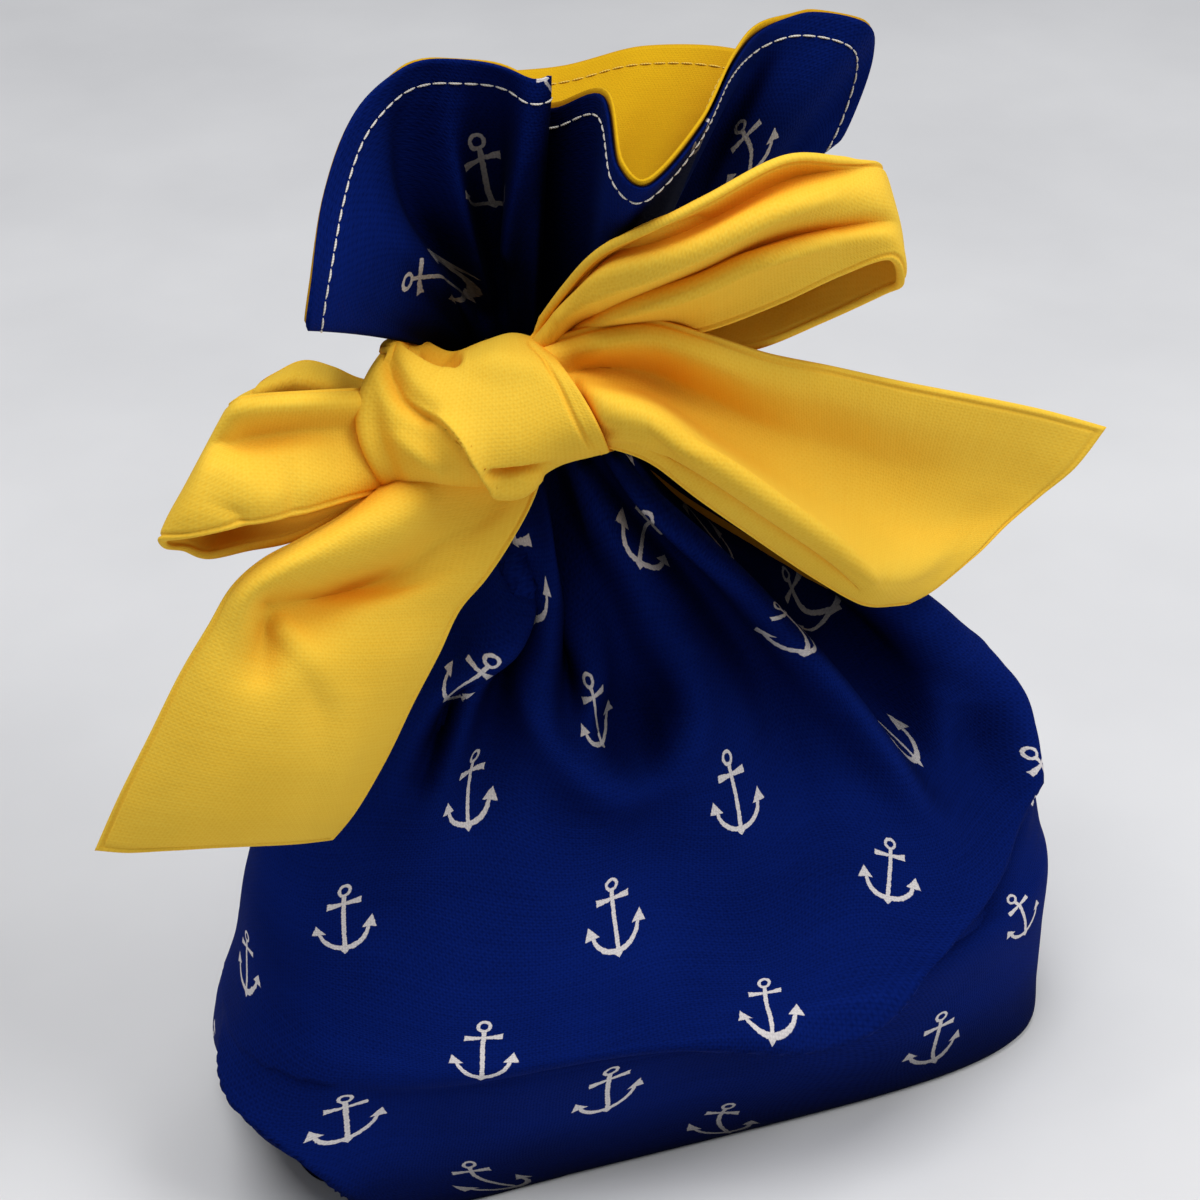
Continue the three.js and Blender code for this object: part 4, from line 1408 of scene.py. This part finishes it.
LEFT_TAIL = Ply(
    "sash_left_tail",
    rows=(
        ((400, 466, 2), (425, 466, 5), (455, 464, 4), (485, 462, 1), (515, 458, -1),
         (548, 452, -3)),
        ((350, 512, 7), (372, 512, 11), (402, 520, 9), (440, 520, -1), (482, 512, -5),
         (512, 505, -5), (535, 496, -5)),
        ((301, 541, 11), (326, 545, 15), (356, 556, 10), (398, 558, -2), (440, 552, -5),
         (480, 545, -7), (514, 536, -8)),
        ((262, 562, 13), (284, 569, 17), (308, 581, 10), (348, 588, -2), (400, 588, -4),
         (450, 578, -7), (487, 576, -11)),
        ((233, 588, 13), (248, 596, 16), (268, 603, 9), (310, 609, 4), (362, 613, 2),
         (415, 610, -5), (459, 609, -12)),
        ((208, 626, 12), (230, 637, 13), (262, 650, 8), (303, 656, 8), (350, 658, 3),
         (398, 656, -5), (438, 652, -14)),
        ((180, 674, 9), (205, 687, 11), (245, 700, 9), (288, 706, 7), (334, 707, 2), (378, 704, -7),
         (412, 701, -17)),
        ((151, 732, 5), (182, 745, 7), (222, 756, 6), (265, 761, 4), (308, 762, 0), (350, 760, -9),
         (386, 755, -21)),
        ((119, 796, -1), (152, 804, 1), (195, 810, 1), (240, 813, -2), (284, 812, -6),
         (322, 810, -14), (356, 807, -25)),
        ((95, 850, -8), (128, 852, -6), (170, 849, -5), (212, 846, -8), (255, 844, -12),
         (296, 842, -19), (331, 838, -30)),
    ),
    folds=(
        Fold(((268, 612, 0.8, 8), (285, 632, 1.5, 9), (305, 655, 1, 12), (325, 690, 0.4, 14))),
        Fold(((266, 604, -0.8, 7), (268, 616, -1.1, 8), (264, 640, -0.9, 12),
              (262, 672, -0.5, 16))),
        Fold(((300, 640, -0.2, 14), (318, 700, -1, 15), (322, 750, -0.4, 14))),
        Fold(((356, 700, 0.3, 14), (340, 760, 0.8, 14), (322, 815, 0.3, 12))),
    ),
)

RIGHT_TAIL = Ply(
    "sash_right_tail",
    rows=(
        ((528, 352, 6), (530, 366, 9), (534, 384, 9), (538, 398, 9), (542, 412, 9), (546, 426, 6),
         (550, 436, 3), (552, 444, 1)),
        ((563, 334, 7), (566, 352, 8), (568, 372, 6), (570, 382, 7), (574, 396, 9),
         (580, 418, 8), (586, 434, 7), (590, 444, 2)),
        ((600, 325, 10), (603, 345, 11), (606, 366, 3), (604, 386, 7), (606, 398, 13),
         (610, 418, 13), (616, 431, 8), (614, 447, 2)),
        ((645, 318, 9), (650, 342, 9), (656, 372, -2), (652, 398, 0), (658, 414, 11),
         (664, 432, 12), (660, 448, 6), (652, 462, 1)),
        ((700, 331, 5), (703, 358, 4), (706, 395, -7), (708, 434, -7), (716, 458, 5),
         (716, 474, 6), (708, 486, 1), (700, 498, -4)),
        ((765, 352, -4), (767, 382, -6), (770, 430, -17), (772, 472, -16), (778, 500, -3),
         (776, 516, -2), (766, 527, -7), (756, 537, -12)),
        ((832, 366, -13), (831, 398, -16), (831, 448, -27), (830, 502, -26), (832, 537, -13),
         (828, 552, -12), (817, 563, -16), (808, 572, -21)),
        ((900, 381, -22), (897, 416, -26), (892, 466, -36), (886, 520, -36), (878, 564, -23),
         (870, 580, -22), (858, 590, -25), (850, 597, -29)),
        ((972, 395, -31), (961, 430, -35), (946, 476, -42), (930, 524, -43), (914, 568, -33),
         (900, 584, -31), (884, 597, -32), (868, 604, -34)),
        ((1044, 410, -42), (1025, 444, -45), (1002, 482, -49), (976, 518, -50), (950, 554, -44),
         (932, 574, -41), (912, 592, -39), (892, 604, -39)),
        ((1106, 427, -52), (1076, 466, -53), (1042, 494, -54), (1010, 522, -53), (980, 550, -50),
         (958, 568, -47), (932, 588, -44), (905, 602, -42)),
    ),
    folds=(
        Fold(((576, 388, -2.5, 5), (582, 405, -3, 6), (592, 428, -3, 6), (598, 440, -1, 5))),
        Fold(((600, 436, 0.3, 4), (620, 430, 1, 5), (645, 436, 0.8, 6), (660, 452, 0.3, 6))),
        # the crisp roll along the lower edge, and the second edge below it
        Fold(((655, 426, 0.6, 5), (716, 466, 2.2, 6), (777, 508, 2.4, 6), (830, 545, 2.2, 6),
              (872, 576, 0.8, 6)), FoldShape.SHARP),
        Fold(((650, 446, -0.6, 4), (710, 483, -1.8, 4), (768, 522, -2, 4), (822, 558, -1.8, 4),
              (858, 586, -0.5, 4)), FoldShape.SHARP),
    ),
    width=96,
    length=200,
)

LEFT_LOOP = Ply(
    "sash_left_loop",
    rows=(
        ((402, 388, 5), (404, 402, 8), (404, 426, 8), (404, 450, 7), (402, 474, 4), (400, 486, 1)),
        ((350, 391, 10), (350, 403, 13), (349, 428, 10), (350, 455, 10), (351, 482, 10),
         (354, 499, 8)),
        ((300, 394, 16), (300, 405, 19), (298, 430, 14), (298, 458, 16), (299, 490, 17),
         (300, 515, 15)),
        ((266, 396, 20), (258, 408, 23), (248, 436, 18), (243, 466, 21), (246, 500, 22),
         (250, 525, 20)),
        ((244, 399, 22), (236, 410, 24), (221, 441, 21), (206, 476, 24), (196, 510, 24),
         (195, 537, 22)),
        ((235, 403, 20), (226, 418, 21), (209, 450, 20), (190, 486, 21), (173, 518, 21),
         (163, 542, 20)),
        ((240, 399, 16), (231, 414, 16), (213, 448, 14), (194, 486, 15), (176, 520, 16),
         (166, 549, 17)),
        ((257, 387, 9), (248, 402, 12), (232, 435, 8), (214, 480, 9), (197, 525, 11),
         (184, 551, 14)),
        ((280, 374, 3), (270, 391, 9), (257, 430, 0), (242, 480, 6), (224, 526, 5), (207, 557, 12)),
        ((305, 363, -1), (293, 385, 7), (286, 425, -4), (276, 475, 4), (262, 516, 2),
         (245, 549, 11)),
        ((332, 369, -3), (326, 390, 4), (322, 425, -7), (316, 470, 3), (306, 508, -2),
         (292, 539, 8)),
        ((359, 380, -5), (358, 400, -1), (360, 430, -7), (358, 465, 2), (353, 492, -4),
         (345, 513, 4)),
        ((404, 388, -5), (404, 400, -4), (404, 425, -5), (404, 450, -5), (402, 472, -3),
         (400, 482, 0)),
    ),
    folds=(
        Fold(((228, 432, 0.2, 10), (262, 440, -0.3, 13), (300, 430, -0.3, 14),
              (335, 425, -0.1, 12))),
        Fold(((215, 470, 0.4, 14), (240, 480, 0.9, 16), (262, 500, 0.5, 14))),
        Fold(((285, 470, -0.3, 9), (292, 492, -0.7, 9), (290, 512, -0.3, 8))),
        Fold(((215, 505, -0.3, 9), (235, 512, -0.7, 9), (245, 524, -0.3, 8))),
    ),
    front=5.2,
    length=230,
)

RIGHT_LOOP = Ply(
    "sash_right_loop",
    rows=(
        ((524, 346, 2), (527, 351, 4), (530, 358, 5), (533, 366, 4), (536, 374, 2), (539, 382, 3),
         (542, 390, 1), (545, 398, -1)),
        ((562, 292, 13), (570, 296, 7), (566, 306, 12), (569, 317, 11), (572, 328, 5),
         (574, 336, 7), (578, 350, 1), (580, 362, -2)),
        ((600, 251, 24), (609, 258, 20), (602, 278, 22), (605, 296, 18), (606, 311, 10),
         (608, 319, 12), (610, 336, 4), (612, 350, -1)),
        ((655, 226, 32), (660, 240, 26), (650, 262, 28), (652, 277, 23), (654, 294, 13),
         (656, 302, 17), (660, 320, 7), (662, 338, 1)),
        ((710, 196, 32), (713, 218, 24), (704, 240, 29), (706, 253, 25), (708, 273, 15),
         (710, 284, 19), (712, 308, 10), (714, 328, 6)),
        ((784, 158, 27), (783, 182, 20), (775, 207, 27), (775, 221, 25), (774, 243, 17),
         (774, 255, 21), (776, 282, 14), (779, 303, 10)),
        ((840, 158, 20), (838, 171, 17), (835, 192, 21), (834, 210, 20), (834, 228, 15),
         (835, 240, 18), (837, 258, 14), (840, 275, 11)),
        ((870, 161, 11), (875, 172, 11), (880, 190, 13), (884, 207, 13), (887, 222, 11),
         (889, 236, 12), (890, 248, 11), (888, 260, 10)),
        ((877, 166, 3), (884, 182, 3), (890, 204, 3), (895, 224, 3), (898, 240, 3), (900, 257, 3),
         (902, 272, 4), (899, 285, 4)),
        ((869, 163, 5), (875, 190, -3), (880, 232, -6), (884, 268, -3), (881, 295, -1)),
        ((836, 160, 16), (828, 186, 1), (824, 240, -10), (826, 292, -7), (823, 322, -5)),
        ((782, 160, 24), (774, 196, 6), (766, 262, -11), (764, 318, -9), (758, 348, -6)),
        ((709, 198, 27), (702, 232, 12), (698, 290, -8), (698, 332, -9), (695, 358, -7)),
        ((654, 229, 25), (646, 258, 12), (636, 305, -5), (634, 338, -8), (632, 364, -7)),
        ((598, 254, 20), (594, 284, 9), (586, 320, -4), (584, 344, -7), (584, 372, -6)),
        ((545, 350, -2), (548, 362, -6), (552, 376, -7), (555, 388, -6), (556, 398, -5)),
    ),
    folds=(
        # the rolled crests of the pleats
        Fold(((560, 318, 0.3, 4), (600, 291, 1, 5), (652, 270, 1.2, 6), (705, 246, 1.2, 7),
              (775, 213, 1, 8), (830, 200, 0.3, 8)), FoldShape.SHARP),
        Fold(((600, 318, 0.4, 3.5), (640, 305, 1.4, 4), (700, 286, 1.6, 4.5), (760, 260, 1.4, 5),
              (830, 241, 0.5, 6)), FoldShape.SHARP),
        # the small pleat along the top
        Fold(((545, 322, -0.6, 2.5), (575, 290, -1.4, 3), (608, 257, -1.4, 3.5),
              (655, 232, -1.2, 4), (700, 212, -0.5, 5)), FoldShape.SHARP),
    ),
    front=7.2,
    length=260,
    width=110,
)


@dataclass
class Sash:
    """The sash: the turn round the neck, the knot, two loops and two tails."""

    knot: Knot = Knot(folds=KNOT_FOLDS)
    limbs: tuple[Ply, ...] = (LEFT_TAIL, RIGHT_TAIL, LEFT_LOOP, RIGHT_LOOP)
    clearance: float = 0.5
    thickness: float = 3.6
    pleats: int = 13
    pleat: float = 2.0
    rows: int = 120
    columns: int = 120

    def neck_turn(self, material: bpy.types.Material) -> bpy.types.Object:
        """The turn of sash round the neck, bunched into soft folds."""
        angle = np.linspace(0, 2 * np.pi, self.columns, endpoint=False)
        across = np.linspace(0, 2 * np.pi, self.rows, endpoint=False)
        out = 0.5 - 0.5 * np.cos(across)
        height = (NECK_LENGTH / 2 - self.clearance) * np.sin(across)
        waver = 0.35 * np.sin(angle * 2 + 0.6)[None]
        crease = self.pleat * np.sin(self.pleats * across[:, None] + waver)
        grow = self.clearance + out[:, None] * (self.thickness + crease)
        x = NECK_AT[0] + (NECK_HALF_WIDTH + grow) * np.cos(angle)[None]
        y = NECK_AT[1] + (NECK_HALF_DEPTH + grow) * np.sin(angle)[None]
        z = NECK_HEIGHT + np.repeat(height[:, None], self.columns, 1)
        ring = np.stack([x, y, z], axis=-1)
        u, v = np.meshgrid(np.linspace(0, SASH_ROUND_NECK, self.columns + 1),
                           np.linspace(0, SASH_WIDTH, self.rows + 1))
        facets = Facets()
        index = facets.add_points(ring)
        index = np.concatenate([index, index[:1]])
        facets.join(index, np.stack([u, v], axis=-1), True, True)
        return facets.to_object("sash_neck_turn", material)

    def build(self, material: bpy.types.Material) -> list[bpy.types.Object]:
        """Make every piece of the sash."""
        pieces = [self.neck_turn(material), self.knot.build(material)]
        pieces += [limb.build(material) for limb in self.limbs]
        return pieces


@dataclass(frozen=True)
class Studio:
    """Pale floor, soft light from above and the camera at the photograph's angle."""

    view: Viewpoint = VIEW

    def camera(self) -> None:
        """Set the camera."""
        back = Vector(self.view.axes()[2])
        data = bpy.data.cameras.new("camera")
        data.sensor_fit = "AUTO"
        data.angle = 2 * math.atan(self.view.side / 2 / self.view.focus)
        data.clip_start = 0.01
        camera = bpy.data.objects.new("camera", data)
        camera.location = Vector(self.view.eye()) * METRES
        camera.rotation_euler = (-back).to_track_quat("-Z", "Y").to_euler()
        bpy.context.scene.collection.objects.link(camera)
        bpy.context.scene.camera = camera

    def floor(self) -> None:
        """Lay the floor, pale to the camera and in reflections."""
        side = 4.0
        mesh = bpy.data.meshes.new("floor")
        corners = [(-side, -side, 0), (side, -side, 0), (side, side, 0), (-side, side, 0)]
        mesh.from_pydata(corners, [], [(0, 1, 2, 3)])
        piece = bpy.data.objects.new("floor", mesh)
        bpy.context.scene.collection.objects.link(piece)
        material = bpy.data.materials.new("pale_floor")
        material.use_nodes = True
        tree = material.node_tree
        tree.nodes.clear()
        place = add_node(tree, "ShaderNodeTexCoord").outputs["Object"]
        mottle = add_node(tree, "ShaderNodeTexNoise",
                          {"Vector": place, "Scale": 9.0, "Detail": 4.0})
        tone = add_node(tree, "ShaderNodeMix", {
            0: mottle.outputs[0], 6: linear("D4D4D6"), 7: linear("ECECED")}, data_type="RGBA")
        surface = add_node(tree, "ShaderNodeBsdfPrincipled",
                           {"Base Color": tone.outputs[2], "Roughness": 0.7})
        add_node(tree, "ShaderNodeOutputMaterial", (surface.outputs[0],))
        mesh.materials.append(material)

    def lamp(self, name: str, place: tuple, aim: tuple, size: float, power: float) -> None:
        """Hang a soft square lamp.

        Args:
            name: the lamp's name.
            place: where it hangs, in metres.
            aim: the point it faces.
            size: its side.
            power: its power in watts.
        """
        data = bpy.data.lights.new(name, "AREA")
        data.shape = "SQUARE"
        data.size = size
        data.energy = power
        lamp = bpy.data.objects.new(name, data)
        lamp.location = place
        lamp.rotation_euler = (Vector(aim) - Vector(place)).to_track_quat("-Z", "Y").to_euler()
        bpy.context.scene.collection.objects.link(lamp)

    def lights(self) -> None:
        """Light the pouch from above and a little from the left."""
        self.lamp("window", (-0.3, -0.12, 1.65), (0.0, 0.0, 0.1), 0.9, 17.6)
        self.lamp("fill", (0.9, -0.6, 1.3), (0.0, 0.0, 0.1), 0.8, 12.0)
        world = bpy.data.worlds.new("sky")
        world.use_nodes = True
        world.node_tree.nodes["Background"].inputs[0].default_value = linear("E4E8F0")
        world.node_tree.nodes["Background"].inputs[1].default_value = 0.24
        bpy.context.scene.world = world

    def build(self) -> None:
        """Set up the whole studio."""
        self.camera()
        self.floor()
        self.lights()
        bpy.context.scene.view_settings.view_transform = "Standard"


# The sash is one strip when flat; each piece has its share of the strip's length
SASH_WIDE = SASH_WIDTH * METRES
SASH_FLATS = {
    "sash_neck_turn": Flat(SASH_WIDE, 0.1, "gathered", ("outer_bag_cloth",)),
    "sash_knot": Flat(SASH_WIDE, 0.079, "folded", ("outer_bag_cloth",)),
    "sash_left_tail": Flat(SASH_WIDE, 0.09, "hung", ("sash_knot",)),
    "sash_right_tail": Flat(SASH_WIDE, 0.115, "hung", ("sash_knot",)),
    "sash_left_loop": Flat(SASH_WIDE, 0.084, "folded", ("sash_knot",)),
    "sash_right_loop": Flat(SASH_WIDE, 0.161, "folded", ("sash_knot",)),
}


def dress(piece: bpy.types.Object, slot: str, *nodes: str) -> None:
    """Give a piece its body, and hide the solids that it stands for.

    Args:
        piece: the piece.
        slot: not used.
        nodes: the solids that it replaces.
    """
    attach(piece, BODY)
    if nodes:
        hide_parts(*nodes)
    log.info("%s: %d faces", piece.name, len(piece.data.polygons))


def main() -> None:
    """Build every piece and the studio."""
    logging.basicConfig(level=logging.INFO, format="%(name)s %(message)s")
    Studio().build()
    navy, sash_cloth = NAVY_COTTON.build(), YELLOW_SASH.build()
    lining_cloth, white, yellow = YELLOW_LINING.build(), WHITE_THREAD.build(), YELLOW_THREAD.build()
    bag = Bag()
    outer = bag.outer(navy)
    dress(outer, "navy_cotton", "outer_bag")
    lining = bag.lining(lining_cloth)
    dress(lining, "yellow_lining", "lining_bag")
    bag.flat(CLOTH_ROUND, "floor").declare(outer)
    bag.flat(LINING_ROUND, outer.name).declare(lining)
    stitches = Stitching()
    line, outward = bag.seam_line(STITCH_DROP, 0.08)
    dress(stitches.build("rim_stitches", line, outward, white), "thread", "rim_topstitch")
    inside = CLOTH + PLY_GAP + LINING_CLOTH + 0.1
    line, outward = bag.seam_line(STITCH_DROP, -inside)
    dress(stitches.build("lining_stitches", line, -outward, yellow), "thread")
    for piece in Sash().build(sash_cloth):
        dress(piece, "yellow_sash", "tie_sash")
        SASH_FLATS[piece.name].declare(piece)


if __name__ == "__main__":
    main()
